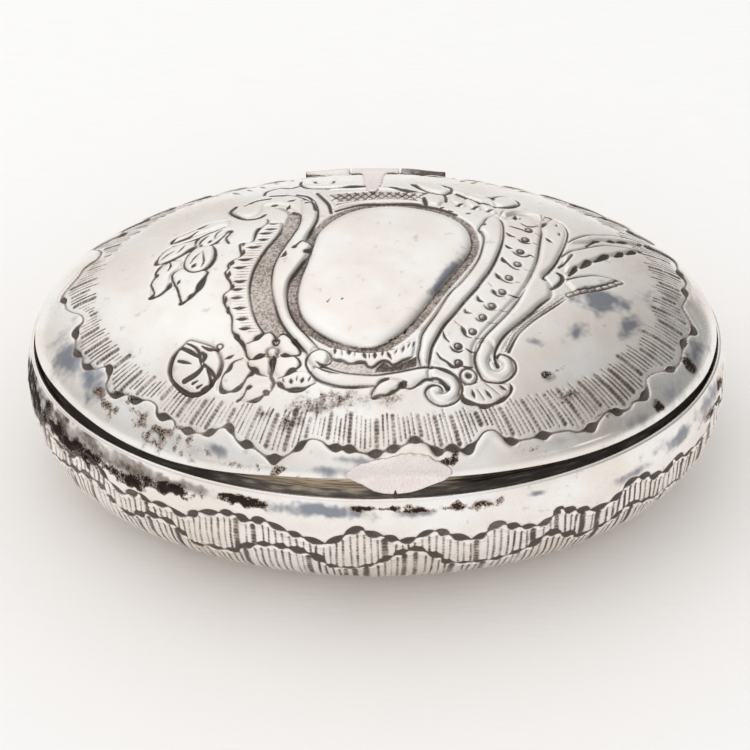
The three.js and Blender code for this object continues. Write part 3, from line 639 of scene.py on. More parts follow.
def ladder_and_s_band(sheet):
    """The left side: an S-shaped band, a matted strip beside it and a ladder of rungs outside."""
    sheet.leaf(LADDER_OUTER[1:], STRIP_OUTER, 0.2, 0.5, dark=0.15)
    for x, y in evenly(STRIP_OUTER, 46):
        if -13 < y < 8:
            sheet.stroke([(x - 0.35, y + 0.05), (x - 1.3, y + 0.1, 0.18), (x - 2.2, y + 0.15)], 0.05, 0.5)
    strip = between([(-14, 13), (-12, 11), *STRIP_OUTER], [(-12.4, 13), (-10.9, 11.2), *STRIP_INNER[1:]])
    sheet.sink(strip, 0.12, 0.3, 0.2, 1.0)
    sheet.strokes([LADDER_OUTER, *LADDER])
    band = [
        (-8.2, 14.1), (-7.9, 12.7), (-7.65, 11.3), (-7.65, 9.8), (-7.8, 8.5), (-8.2, 7), (-8.6, 5.8),
        (-9.1, 4.2),
    ]
    sheet.leaf([(-9.9, 14.4), (-9.7, 12), *STRIP_INNER[1:]], [*band, (-8.4, 3.4), (-8.3, 2.4), *BAND_INNER],
               0.32, 0.75, line=0.12)
    sheet.strokes([
        STRIP_OUTER, STRIP_INNER, BAND_INNER, band,
        [(-9.1, 4.2), (-9.7, 3.7), (-10.1, 3.1), (-10.5, 2.6, 0.6), (-10.8, 2.5)],
        [(-9.1, 4.1), (-8.6, 3.8), (-8.2, 3.4)],
        [(-8.2, 3), (-8.4, 2.2, 0.36), (-8.9, 1.7, 0.7), (-9.2, 1.3)],
        [(-11.5, 1.8), (-11.7, 1, 0.6), (-12.1, 0.5)],
        *heavier([[(-14.3, 16.8), (-12, 16.5), (-9.9, 15.2), (-8.5, 13.3), (-8, 11.2)],
                  [(-18.8, 14.4), (-19.5, 12.8), (-18.4, 11.2), (-17.1, 10.3), (-15.5, 10.4),
                   (-14.7, 11.2, 0.4)],
                  [(-17.6, 14, 0.4), (-17.1, 14.8, 0.4), (-16, 15.6), (-14.3, 15.9)],
                  [(-15.2, 17.3), (-14.9, 18.7), (-13.3, 19.7), (-11.7, 19.2), (-10.7, 19.7)]],
                 1.5),
        *crossing([(-11.3, 14.3, 1.3, 0.5, 20), (-9.2, 13.3, 1, 0.4, -20), (-13.6, 13.5, 1.1, 0.45, 0),
                   (-11.7, 12.6, 1.2, 0.5, 70)]),
    ])


SCALES = [
    [(17.7, 8.5), (18.3, 8.3), (19.15, 8), (19.8, 7.5)], [(17.2, 6.9), (17.7, 6.3, 0.46), (18.5, 5.9)],
    [(18.75, 5.5), (19.15, 5), (19.8, 4.75), (20.4, 4.8)], [(20.8, 5), (21.25, 4.7)],
    [(21.1, 7.4), (21.7, 6.9)], [(17.05, 4), (17.5, 3.5, 0.46), (18, 3.3)],
    [(18, 2.65), (18.5, 2.1), (19.15, 1.75), (19.8, 1.8), (20.3, 2.2), (20.9, 1.75)],
    [(16.6, 1.2), (16.8, 0.6, 0.57), (17.3, 0.05), (17.7, -0.5), (18.3, -1), (19, -1.15)],
    [(19.5, -0.9), (20.3, -1.15)],
    [(15.7, -2.1), (16.1, -2.8, 0.57), (16.6, -3.4), (17.2, -3.8), (18, -3.9)],
    [(18.3, -3.7), (18.9, -3.6)], [(14.8, -4.2), (15.3, -4.8)],
    [(15.3, -5.4), (15.5, -5.8, 0.57), (15.8, -6.4), (16.2, -6.6), (16.85, -6.5)],
    [(17.3, -6.15), (18.1, -6.4), (18.8, -6.2)], [(13.3, -6.8), (13.6, -7.6, 0.46), (14.15, -7.9)],
    [(14.2, -8.4), (14.5, -8.9), (15, -9.15), (15.8, -9.1)], [(16.2, -9.1), (17.15, -9.1)],
    [(11.8, -9.3), (11.9, -9.8, 0.46), (12.7, -10)], [(13.1, -10.7), (13.5, -11.15), (14.2, -11.3)],
    [(14.7, -11.4), (15.9, -11.2)], [(10.5, -11.5), (11.15, -12.2)],
    [(11.3, -12.2), (11.6, -12.9, 0.57), (11.9, -13.8), (12.7, -14.1)], [(13.15, -14.1), (14.4, -13.7)],
    [(9, -13.3), (9.2, -14.2), (9.8, -15)], [(9.9, -15.6), (10.3, -16.2), (11, -16.4), (11.5, -16.15)],
    [(11.9, -15.8), (12.4, -16.15), (13.15, -16.15)],
    [(8.2, -16.7), (8.7, -17.5), (9.5, -18), (10.2, -18.6, 0.46), (11, -18.7)],
    [(11.3, -18.4), (12.1, -18.55), (12.8, -18.4)],
    [(19.15, 9.5), (19.95, 8.9), (20.8, 8.95), (21.6, 9.35)],
    [(16.4, 11), (17, 12.6), (18, 12.9), (18.7, 12.5)],
    [(23.8, -0.75, 0.34), (24.3, -1.1, 0.57), (24.4, -2, 0.57), (23.9, -3, 0.57), (23.2, -3.8, 0.46),
     (22.6, -4.3)],
    *crossing([(18.5, 10.9, 1.7, 0.6, 90), (19.1, 10.8, 0.8, 0.35, 80), (22.3, 10.1, 1.8, 0.6, 60),
               (24.2, 7.6, 0.9, 0.4, 90), (22.8, 5.8, 1.6, 0.5, -50), (23.9, 9.8, 0.8, 0.35, 90),
               (14.4, 8.3, 0.9, 0.5, 90)]),
]


def scale_band(sheet):
    """The right side: an inner band, a strip of scales with punched dots, and the hook outside."""
    sheet.leaf(INNER_RIGHT[1:],
               [(20.5, 11.4), *HOOK_LEFT, (16, -10), (13.6, -13.5), (12.6, -16), (12.8, -19.6)], 0.14, 0.5,
               dark=0.1, matt=0.12)
    for x, y in SCALE_DOTS:
        turn = math.atan2(y + 40, x - 40)
        ring = circle(x, y, 0.42, 8, turn / (2 * math.pi))
        widths = (0.2, 0.2, 0.3, 0.42, 0.46, 0.42, 0.3, 0.2)
        sheet.stroke([(*p, width) for p, width in zip(ring, widths)], closed=True)
        sheet.punch(x, y, 0.5, 0.5, 0, 0.04, 0.5)
    sheet.leaf(INNER_LEFT, INNER_RIGHT, 0.32, 0.7, line=0.12)
    sheet.leaf([*HOOK_LEFT, *SCROLL_INNER[1:6]],
               [*HOOK_RIGHT[2:-1], (22.7, -3.2), (22.9, -4.6), *SCROLL_OUTER], 0.32, 0.8, line=0.12)
    sheet.leaf([(16.4, 11), (17, 12.6), (18.5, 13), (22.5, 12.5)],
               [(17.3, 10.9), (18.6, 11.9), (20.6, 11.9), (22, 10.8)], 0.42, 0.6)
    sheet.strokes([HOOK_LEFT, HOOK_RIGHT, INNER_LEFT, INNER_RIGHT, *SCALES])


def lower_right_scroll(sheet):
    """The scroll that runs down from the hook and curls in, and a small fan beside it."""
    sheet.ridge([(14.4, -15.4), (13.9, -17.4), (14.5, -19), (15.9, -19.3), (17.1, -18.4), (17, -17.1),
                 (16.4, -16.7)],
                [2.1, 1.6, 1.5, 1.4, 1.3, 1.1], 0.32, line=0.12)
    sheet.mound([(11.2, -21.6), (11.6, -22.9), (13.4, -23.4), (15.6, -23), (17.2, -21.6), (17.6, -20.3),
                 (15, -20.3), (12.4, -20.6)], 0.2, 0.5, dark=0.15)
    sheet.mound(circle(12.2, -19.8, 1.0), 0.34, 0.4, line=0.12, dark=0.75)
    sheet.punch(12.2, -19.8, 0.9, 0.9, 0, 0.26, 0.95)
    sheet.strokes([
        SCROLL_INNER, SCROLL_OUTER,
        [(11.5, -22.3), (11.6, -22.9, 0.6), (12.5, -23.2, 0.5), (13.3, -23.3), (14.2, -23.4, 0.5),
         (15.3, -23), (16.4, -22.3, 0.5), (17.3, -21.5), (17.6, -20.6, 0.4), (17.4, -20.1)],
        [(13.3, -21.5), (14.2, -22.7)], [(14.2, -20.5), (16.1, -21.8)],
        *crossing([(12.8, -22.1, 1.2, 0.4, -70), (14.7, -21.9, 1.4, 0.4, -50),
                   (16.5, -20.85, 1.3, 0.4, -30)]),
    ])


UNDER_PANEL = [
    (-4.9, -17.6), (-4.6, -17.9), (-4, -18, 0.45), (-3.4, -18.2), (-2.9, -18.5), (-2.2, -18.5),
    (-1.5, -18.3, 0.45), (-0.8, -18.4, 0.4), (-0.5, -18.9), (0, -19.1), (0.5, -18.9), (1, -18.4),
    (1.6, -18.1), (2.2, -18.3), (2.6, -18.7), (3.3, -18.5), (4, -18), (4.6, -17.7), (5.2, -17.4),
]


def bottom_scroll(sheet):
    """A long C-scroll under the panel, from an eye on the left to a curl on the right."""
    sheet.leaf([(-5.2, -16), (-1, -16.9), (3, -16.3), (5.6, -14.8)], UNDER_PANEL, 0.12, 0.3, dark=0.1)
    hollow = between(UNDER_PANEL, [(-5.5, -18.9), (-3, -19.8), (0.5, -20.1), (3.5, -19.6), (5.8, -18.9)])
    sheet.sink(hollow, 0.1, 0.2, 0.12, 0.9)
    hollow = between([(0.8, -18.8), (1.6, -18.2), (2.6, -18.8), (4.6, -17.8), (5.8, -17.2)],
                     [(0.2, -20), (3.5, -19.6), (5.8, -18.9)])
    sheet.sink(hollow, 0.02, 0.2, 0.5, 1.0)
    sheet.leaf([(-7, -18.7), (-5.6, -19.2), (-3, -20), (0.5, -20.3), (3.5, -19.8), (6.2, -19.1), (8.1, -19),
                (9.9, -19.6)],
               [(-7.6, -19.6), (-6.5, -20.8), (-4, -21.7), (0.8, -21.7), (4.5, -21.7), (6.1, -21.2),
                (7.6, -20.5), (9, -20.9)],
               0.32, 0.8, line=0.12)
    sheet.ridge([(8, -19.8), (9.9, -20.5), (10.4, -21.8), (9.6, -22.8), (8.3, -23), (7.7, -22.2),
                 (8.3, -21.9)],
                [1.7, 1.5, 1.4, 1.3, 1.3, 1.2, 1.1], 0.32, line=0.12)
    sheet.mound(circle(-6.6, -17.5, 1.35), 0.3, 0.6, line=0.12)
    sheet.mound([(0.2, -23.2), (0.6, -21.9), (1.6, -21), (3, -20.8), (4.2, -21.4), (3.3, -22.2),
                 (2, -22.9)],
                0.4, 0.6)
    sheet.strokes([
        BOTTOM_UPPER, BOTTOM_LOWER, CURL_LOWER, UNDER_PANEL,
        [(-5, -18.1), (-5.3, -18.5), (-5.8, -18.65), (-6.4, -18.6), (-7, -18.2)],
        [(-7, -18.85), (-6, -19.5), (-4.9, -19.9), (-4, -20.1)],
        [(0.1, -23.2), (0.2, -22.6), (0.6, -21.9), (1.1, -21.3, 0.36), (1.9, -20.9, 0.45), (2.3, -20.8)],
        [(0.1, -23.2), (0.4, -23.3, 0.4), (1.2, -23), (2, -22.9), (2.7, -22.5, 0.36), (3.3, -22.2),
         (3.7, -21.7, 0.5), (4.2, -21.4, 0.85), (4.5, -21.2)],
        *crossing([(-4.6, -16.7, 1.2, 0.45, 85), (-3.7, -17, 1.1, 0.2, 95), (-2.8, -16.9, 1, 0.55, 90),
                   (-2.1, -17.2, 1, 0.16, 90), (-0.85, -17.4, 1.3, 0.45, 105), (-0.25, -17.5, 0.9, 0.2, 95),
                   (0.45, -17.4, 1.2, 0.45, 90), (1.4, -17.1, 1, 0.3, 85), (2.25, -17.4, 1.5, 0.4, 115),
                   (3.1, -16.8, 0.9, 0.25, 70), (4, -16.3, 1.4, 0.4, 80), (4.7, -15.7, 1.3, 0.3, 75),
                   (5.3, -15.5, 1.3, 0.3, 80)]),
    ])


SHELL_RING = [
    (-23.3, -12.9, 0.27), (-22, -13.4, 0.27), (-20.8, -14, 0.32), (-19.8, -14.7, 0.36),
    (-19.2, -15.8, 0.32), (-18.9, -17, 0.36), (-19.2, -18.2, 0.44), (-19.9, -19.1, 0.48),
    (-20.5, -19.9, 0.52), (-21.6, -20.4, 0.54), (-22.8, -20.3, 0.54), (-23.9, -19.6, 0.58),
    (-24.7, -18.8, 0.5), (-25.4, -17.8, 0.46), (-25.6, -16.6, 0.58), (-25.3, -15.2, 0.58),
    (-24.7, -14.2, 0.42), (-23.9, -13.4, 0.3),
]
FLOWERS = [
    [(-23.5, -13.5, 0.26), (-22.5, -14.2, 0.36), (-21.9, -15, 0.4), (-21.7, -16, 0.36), (-21.5, -17.1)],
    [(-21.5, -15.1, 0.3), (-21.1, -15.7, 0.62), (-21.3, -16.4, 0.4)],
    [(-24.2, -14, 0.5), (-23, -14.8, 0.58), (-22, -15.6, 0.4)],
    [(-24.5, -15.8, 0.4), (-23.7, -16.1, 0.44), (-22.8, -16.5)],
    [(-23.6, -18.6, 0.7), (-22.4, -18.1, 0.72), (-21.7, -17.6, 0.56), (-21.3, -17.1, 0.4)],
    [(-21.2, -16.8, 0.3), (-20.4, -17.7, 0.46), (-19.9, -18.4, 0.5)],
    [(-20.6, -17.7, 0.4), (-20.3, -18.8, 0.36), (-20.1, -19.7, 0.4)],
    [(-22.5, -19.1, 0.4), (-21.9, -18.9, 0.2)], [(-21.9, -19.7, 0.4), (-21.3, -19.5, 0.2)],
    [(-21.3, -20.1, 0.4), (-20.7, -19.7, 0.2)],
    [(-21.6, -14.2, 0.2), (-20.6, -14.8, 0.56), (-19.7, -14.9, 0.4)],
    [(-15.9, -14.6), (-15, -14.2), (-14.5, -13.8, 0.74), (-13.6, -13.1), (-12.8, -13.1), (-12.3, -13.8),
     (-12.2, -14.4)],
    [(-12, -14), (-11.4, -13.4), (-10.9, -13.6), (-10.2, -14.4), (-9.8, -14.8, 0.74), (-9.2, -16),
     (-9, -16.8), (-10, -17), (-11, -16.8, 0.68), (-11.5, -16.6)],
    [(-15.9, -15.4), (-15.8, -16.3), (-15.2, -16.9), (-14.1, -16.6, 0.81), (-13.4, -16.3)],
    [(-9.9, -17), (-9.2, -17.6), (-8.9, -18.4), (-9.4, -18.9), (-10, -19.1, 0.68), (-10.9, -19.8),
     (-11.8, -20)],
    [(-12.3, -17, 0.54), (-12.4, -17.6, 0.94), (-12.4, -18.6, 0.54), (-12.6, -19.6, 0.46),
     (-12.2, -20.6, 0.46), (-12.5, -21.6)],
    [(-15.6, -17.2), (-15.4, -18), (-14.6, -18.5, 0.68), (-14, -19.2), (-13, -19.6)],
    [(-16.3, -16.6), (-17.5, -17), (-17.9, -17.9, 0.68), (-18.6, -18.6), (-18.9, -19.6),
     (-18.8, -20.6, 0.68), (-17.8, -20.9), (-16.8, -20.7, 0.57), (-16, -20), (-15.6, -19.4),
     (-15, -18.9, 0.54)],
    [(-16.8, -22.2, 0.41), (-16, -21.8), (-15.7, -21), (-15.3, -20.7, 0.68), (-14.9, -20.7)],
    [(-15.6, -22.5), (-14.4, -22.5, 0.57), (-13.4, -22), (-13.2, -21.8, 0.94), (-12.6, -21.6)],
    [(-11.9, -20.5), (-11.4, -20.9, 0.68), (-10.7, -21.6), (-9.6, -21.8, 0.68), (-8.6, -21.8, 0.54),
     (-8, -21.6), (-6.9, -21.1)],
    *crossing([(-18, -16.2, 1.4, 0.5, 20), (-10, -20.7, 0.9, 0.49, 100), (-8.6, -20.7, 0.9, 0.49, 75),
               (-11, -20.4, 0.8, 0.27, 110), (-7.7, -20.6, 0.9, 0.27, 65), (-9.3, -20.4, 0.8, 0.22, 85)]),
]


def flowers(sheet):
    """A shell flower and a spray of blossoms at the lower left of the cartouche."""
    sheet.mound(SHELL_RING, 0.2, 0.9)
    for outline in (
        [(-19.4, -20.4), (-18.7, -18.3), (-17, -16.9), (-15.3, -17.2), (-15, -18.9), (-16.8, -20.7)],
        [(-16.4, -22.1), (-15.4, -20.8), (-13, -20.5), (-12.4, -21.4), (-14.4, -22.5)],
        [(-12.2, -17.2), (-9.6, -16.9), (-8.9, -18.3), (-10.4, -19.6), (-12, -19.6)],
        [(-15.7, -17.2), (-14.2, -16.7), (-12.8, -17), (-13, -19.4), (-14.6, -18.7)],
        [(-15.9, -14.8), (-14.5, -13.6), (-12.9, -13), (-12.2, -14.2), (-12.8, -15.8), (-15.2, -16.6)],
        [(-12, -14.2), (-11, -13.5), (-9.6, -15), (-9, -16.7), (-11.2, -16.6)],
        [(-11.8, -20.3), (-11, -21.7), (-8.5, -21.7), (-6.9, -21), (-7.6, -19.7), (-9.4, -19.3),
         (-11, -19.8)],
    ):
        sheet.mound(outline, 0.18, 0.7, dark=0.2)
    ring = [(x, y, 0.3) for x, y in circle(-12.5, -16.2, 0.72)]
    sheet.mound(circle(-12.5, -16.2, 0.7), 0.24, 0.5, level=0.08)
    for points in (SHELL_RING, ring):
        sheet.stroke(points, 0.14, 0.5, closed=True)
    for x, y in ((-12.1, -14.7), (-19.3, -14.5)):
        sheet.stroke(circle(x, y, 0.4, 8), closed=True)
    sheet.strokes(FLOWERS)


TOP = [
    [(-5.3, 11.2), (-4, 12), (-1.9, 12.9), (1.3, 13.2), (4.5, 13.2), (6.7, 12.7), (8.8, 11.9),
     (10.7, 10.7)],
    [(-5.07, 13.1), (-2.9, 13.7), (-0.3, 14.4), (2.7, 14.5), (5.3, 14.3)],
    [(-8, 16.3), (-7.2, 14.7), (-6.3, 12.8), (-5.9, 10.7)], [(-10.7, 16.5), (-9.3, 15.7), (-8.3, 14.1)],
    [(-10.4, 21.9), (-10.4, 20.3), (-9.6, 18.9), (-8, 18.3), (-5.6, 18.1, 0.48), (-3.4, 18.3, 1.1),
     (-1.6, 18.5, 0.96), (-0.9, 18.6)],
    [(-8.5, 21.5), (-8.3, 20.5), (-7.2, 20.1), (-6.1, 20.3), (-5.9, 21.3)],
    [(1.1, 18.4), (2.4, 18, 0.96), (4, 17.1, 0.6), (5.4, 16.8), (6.7, 16.5)],
    [(4.8, 19.5, 0.6), (5.9, 17.9, 0.43), (7.2, 16.8), (8.8, 16.4), (9.9, 17.1), (9.9, 18.4), (8.5, 19.6)],
    [(6.4, 15.2), (6.5, 14, 0.6), (6.7, 13)], [(9.1, 16.3), (9.3, 15.3, 0.43), (9.3, 14.1)],
    [(10.4, 18.9), (12.5, 17.3), (14.7, 16.3), (15.7, 15.7)],
    [(15.5, 16), (16, 16.9), (17.3, 17.3), (18.7, 16.5), (19.1, 15.2), (18.1, 14), (16.5, 13.6), (14.7, 14),
     (12.5, 15.2), (10.7, 16.7)],
    *crossing([(11.1, 13.3, 1.6, 0.5, 35), (13.2, 12.8, 1.8, 0.5, 40), (15.1, 12.3, 1.3, 0.45, 30),
               (9.9, 11.6, 1, 0.4, -20), (12.3, 11.2, 1, 0.4, 30), (8.8, 12.4, 0.8, 0.36, 20),
               (11.6, 22.9, 2, 0.4, 62), (13.1, 22.4, 2, 0.4, 60), (17.3, 22.4, 2, 0.4, 52),
               (19.7, 21.3, 2, 0.4, 48), (-15.6, 21.1, 2, 0.4, 125), (-13.9, 22.7, 2, 0.4, 120),
               (-19.2, 19.7, 2, 0.4, 132), (15.2, 23.1, 2, 0.36, 56), (-17.4, 20.4, 1.8, 0.36, 128),
               (-11.8, 23.6, 2, 0.36, 114)]),
]


def top_of_cartouche(sheet):
    """The arch over the panel, a lattice behind it and the scrolls that crown it."""
    lattice = between([(-6.7, 16.3), (-1.6, 16.8), (1.3, 17.1), (5.3, 15.9)],
                      [(-5, 13.5), (-0.3, 14.6), (2.7, 14.8), (5.3, 14.6)])
    sheet.sink(lattice, 0.08, 0.3, 0.25, 0.5)
    for x in np.arange(-6.2, 5.4, 1.1):
        lift = 0.1 * (x + 5)
        top = 16.7 - 0.02 * x * x
        sheet.stroke([(x, 13.9 + lift * 0.4, 0.2), (x + 1.5, top, 0.34)], 0.1, 0.6)
        sheet.stroke([(x + 1.7, 14.1 + lift * 0.3, 0.2), (x, top, 0.3)], 0.1, 0.6)
    sheet.ridge([(-5.6, 12.2), (-3.4, 13.2), (-0.3, 13.8), (3, 13.9), (6, 13.5)], [0.7, 0.9, 1, 0.8], 0.17)
    sheet.ridge([(-8.4, 17), (-7, 14.9), (-5.8, 12.4)], [0.8, 1.1, 0.8], 0.18)
    sheet.mound([(-6.6, 17.4), (-1, 17.4), (3, 17.1), (6.2, 16.2), (5.6, 16.9), (3, 18), (-1, 18.3),
                 (-4.6, 18.2)],
                0.14, 0.4)
    sheet.ridge([(-9.6, 22), (-9.5, 20.6), (-8.6, 19.5), (-6.6, 19.1), (-4.2, 19.2), (-2, 19.4)],
                [1.4, 1.5, 1.6, 1.3, 0.9], 0.2)
    sheet.mound([(4.9, 19.5), (6.3, 17.8), (8, 16.7), (9.7, 16.9), (10, 18), (8.7, 19.8), (6.6, 20.4)],
                0.24, 0.9)
    sheet.mound([(6.8, 15.4), (6.9, 13.4), (8.2, 12.8), (8.9, 14), (8.4, 15.6)], 0.24, 0.7)
    sheet.leaf([(8.3, 20.1), (11, 18.6), (14, 16.7), (16.2, 17)],
               [(9.8, 17.4), (12, 15.7), (14.5, 14.3), (16.2, 14)], 0.22, 0.8)
    sheet.mound(circle(17.2, 15.4, 1.75), 0.2, 0.9)
    sheet.mound(circle(-17.1, 12.7, 1.9), 0.22, 1.0)
    for x, y in ((10.6, 14.4), (12.7, 13.8), (14.8, 13.1)):
        sheet.ridge([(x - 0.3, y + 1), (x + 0.2, y), (x + 0.9, y - 1.2)], [1.2, 1.4, 0.8], 0.16)
    sheet.leaf([(-15.2, 14.4), (-12, 16.2), (-9.4, 14.6), (-8.6, 12)],
               [(-15.2, 13.6), (-12.6, 13.4), (-10.8, 11.8), (-10, 9)], 0.2, 0.7)
    sheet.strokes(heavier(TOP, 1.45))


# How far the panel's edge lies under the ground round it, and its face over it
PANEL_FOOT = -0.08
PANEL_RISE = 0.42


def panel(sheet):
    """The plain panel, raised out of a matted moat."""
    outline = spline(PANEL, closed=True)
    window, distance, _ = sheet.near(np.vstack([outline, outline[:1]]), 1.8)
    inside = sheet.inside(outline, window)
    moat = np.where(inside, 0, smooth(1.35 - distance, 0, 0.4))
    sheet.height[window] = np.where(moat > 0,
                                    np.minimum(sheet.height[window], 0.1 * (1 - moat)) - 0.2 * moat,
                                    sheet.height[window])
    sheet.dark[window] = np.maximum(sheet.dark[window] * (1 - moat), 0.3 * moat)
    sheet.matt[window] = np.maximum(sheet.matt[window], moat)
    whole, _, _ = sheet.near(outline, 0.1)
    for field, value in ((sheet.height, PANEL_RISE), (sheet.dark, 0.0), (sheet.matt, 0.0)):
        field[whole][sheet.inside(outline, whole)] = value
    share = np.clip(distance / 1.5, 0, 1)
    rise = PANEL_FOOT + (PANEL_RISE - PANEL_FOOT) * np.sqrt(1 - (1 - share) ** 2)
    sheet.lay(window, np.where(inside, -distance, distance), rise, 0.06, 0.55, 0.0)


# Stains on the lid: their middle, length, width, turn in degrees and strength
# Grey film; at the lid's left end and along the panel's right edge it is a painted reflection of darker
# surroundings
LID_FILM_AND_REFLECTION = [
    (-39.5, -10.4, 12, 5, 116, 1.05), (-36, -15, 10, 4.2, 130, 1.0), (-19.5, -26.6, 4.5, 1.3, -25, 1.0),
    (29.4, -4.8, 9, 6.5, 20, 1.3), (33, -8, 7, 4, 60, 1.1), (25.6, -5.4, 3, 2, 60, 0.6),
    (26, -11, 5, 3.2, 40, 1.15), (41.5, -8.5, 10, 3, 72, 0.9), (38, -15, 8, 3, 52, 0.7),
    (20.3, -13.6, 3, 2, 0, 1.0), (22.4, -18.4, 2.4, 1.6, 30, 0.7), (-3, -29.8, 8, 1.1, -6, 0.9),
    (9, -4, 13, 2.4, 64, 1.2), (-11.7, 9.5, 5, 1, 85, 0.6), (34, -19.6, 7, 1.6, 38, 0.6),
    (24, -25, 9, 1.2, 22, 0.4), (-10.4, -3.4, 6, 1.2, 75, 0.5), (-5.5, -30.4, 8, 0.9, -6, 0.75),
    (6.4, -13, 3, 1.2, 50, 0.5), (-28, -22.5, 8, 1.6, 150, 0.4),
]
LID_TARNISH = [
    (39, -3, 16, 8, 80, 0.3), (36, 5, 12, 6, 110, 0.2), (37, -14, 10, 5, 55, 0.24),
    (-40, -2, 14, 3, 95, 0.16), (-29.5, -21.2, 5.4, 2, 150, 0.26), (-31.5, -18.8, 7, 2.4, 140, 0.24),
    (-26, -24, 8, 2, 160, 0.26), (-22.5, -26, 5, 1.3, 165, 0.26), (-15.5, -28.8, 4, 1, 170, 0.3),
    (24, -20.6, 5, 2, 30, 0.3), (-28, 4, 6, 2, 110, 0.16), (-31, -2, 8, 1.4, 100, 0.14),
]
LID_CRUST = [
    (-30, -21.2, 9, 2.6, 148, 0.4), (-26.4, -23.6, 9, 2.4, 156, 0.39), (-33, -18.9, 8, 2, 138, 0.42),
    (-22, -26.2, 6, 1.5, 165, 0.38), (-31.5, -18.8, 8, 2.6, 140, 0.36), (-15.5, -28.8, 5, 1.1, 170, 0.4),
    (-35, -16.6, 6, 1.6, 140, 0.37), (-10, -29.9, 6, 0.9, -6, 0.36), (8.6, -29.7, 3, 0.6, 12, 0.6),
    (10.6, -29, 2, 1, 60, 0.66), (20, -26.8, 4, 0.8, 22, 0.4), (-5, -23.4, 15, 2.2, -4, 0.28),
    (-10, -25.4, 4, 2, 0, 0.3), (40.6, -10.2, 2.6, 2, 70, 0.75), (36.6, -17.2, 2.2, 1.4, 40, 0.75),
    (30, -20.5, 6, 1, 35, 0.45), (24, -20.6, 4, 1.6, 30, 0.42), (-5.7, -8.5, 1.4, 0.5, 60, 0.55),
    (-4, -8.3, 0.9, 0.5, 60, 0.55), (-6.4, -9.2, 0.8, 0.4, 20, 0.5), (8.9, -6.5, 12, 0.7, 62, 0.45),
    (2.2, -15, 1.4, 0.4, 30, 0.7), (3, -14.5, 0.9, 0.4, 40, 0.8), (4.2, -13.5, 1, 0.5, 70, 0.8),
    (-7.2, -13.4, 5, 0.8, -45, 0.36), (22, -18, 3, 1, 30, 0.42),
]
MATTED_GROUND = [
    (-9, -23.8, 9, 3, 0, 1.4), (-3.5, -23.4, 9, 3.4, 0, 1.4), (2.6, -23.4, 6, 2, 12, 1.4),
    (-9.6, -25.8, 4, 1.8, 20, 0.9), (-20.5, -26.6, 5, 1, 160, 0.4), (24, -21, 4, 1.4, 30, 0.5),
]


def lid_chasing():
    """Everything that is chased on the lid, from the ground up."""
    sheet = Chasing(left=-46, right=46, low=-32, high=32, step=LID_STEP)
    lid_belt(sheet)
    sheet.stains(sheet.matt, MATTED_GROUND)
    bouquet(sheet)
    fronds(sheet)
    scale_band(sheet)
    panel(sheet)
    top_of_cartouche(sheet)
    ladder_and_s_band(sheet)
    lower_right_scroll(sheet)
    flowers(sheet)
    bottom_scroll(sheet)
    for field, marks in ((sheet.film_and_reflection, LID_FILM_AND_REFLECTION), (sheet.dark, LID_TARNISH), (sheet.crust, LID_CRUST)):
        sheet.stains(field, marks)
    return finished(sheet, seed=21)


# Sizes on a finished sheet, in millimetres across
GRAIN = 0.14
SOFTENING = 0.04
NARROW_HOLLOW = 0.2
WIDE_HOLLOW = 0.7
WORN_PATCH = 2.5
DENT = 4.0
SMALL_DENT = 1.3


def finished(sheet, seed):
    """Grain, dents and the dark that gathers in hollows, once a sheet is drawn."""
    shape = sheet.height.shape
    grain = noise(shape, GRAIN / sheet.step, seed)
    sheet.height += 0.035 * sheet.matt * grain
    sheet.height = blurred(sheet.height, SOFTENING / sheet.step)
    narrow = blurred(sheet.height, NARROW_HOLLOW / sheet.step) - sheet.height
    wide = blurred(sheet.height, WIDE_HOLLOW / sheet.step) - sheet.height
    wear = 0.86 + 0.18 * noise(shape, WORN_PATCH / sheet.step, seed + 1)
    pooled = np.maximum(0.55 * smooth(narrow, 0.01, 0.14), 0.36 * smooth(wide, 0.02, 0.26))
    sheet.dark = np.maximum(sheet.dark, pooled) * wear
    sheet.dark = np.clip(sheet.dark + sheet.matt * (0.14 + 0.16 * smooth(-grain, -0.5, 0.8)), 0, 1)
    sheet.height += (0.035 * noise(shape, DENT / sheet.step, seed + 2)
                     + 0.012 * noise(shape, SMALL_DENT / sheet.step, seed + 3))
    return sheet


# The drawing on the base, unrolled from a seam at the back, with depths below the rim

SEAM = 90
FLUTES_END = 17.0
UPPER_LINE = [
    (213, 5.5), (215, 4.3), (218, 4), (221, 4.6), (223, 5.8), (226, 6.8), (228, 6.2), (230, 5.5),
    (232, 6.2), (236, 5.8), (238, 6.5), (240, 6.3), (241.5, 5.2), (243, 4.9), (247.5, 4.1), (250.5, 4.7),
    (253, 4.3), (255, 5), (257.5, 5.8), (260, 6.5), (262.5, 7.1), (264, 6.6), (265.5, 5.7), (267, 4.8),
    (268.5, 4.4), (270, 5.2), (272, 5.6), (275, 6.5), (277, 6), (279, 5.2), (280.5, 5.1), (282, 5.8),
    (284.5, 6.8), (286, 7.2), (288, 6.6), (289.5, 5.5), (291, 5.4), (293, 6.2), (296, 6.9), (298, 6.9),
    (300, 5.9), (301, 5.1), (303, 5.9), (305, 6.5), (307, 7.1), (309, 7.3), (311, 7), (313, 6.3),
    (314.5, 5.2), (316, 5), (318, 5.1), (321.5, 6.4), (325, 6.6), (327, 5.7), (331, 6.8),
]
LOWER_LINE = [
    (212, 8.3), (217, 7.4), (221, 8), (223, 9.6), (226, 10.8), (229, 9.8), (231, 8.9), (235, 8.7),
    (237, 9.3), (240, 12), (242, 11.6), (247, 11.2), (250.5, 9.2), (254, 8.5), (258, 8.9), (261, 9.8),
    (263, 11.6), (265, 12.2), (268, 12), (271, 10.8), (274, 9), (277, 8.2), (279, 9), (281, 10.2),
    (283, 11.8), (290, 12.4), (296, 11), (298, 9.7), (300, 9.3), (304, 11), (306, 12), (312, 11.2),
    (315, 9.5), (319, 10.2), (323, 11.2), (326, 10.8),
]


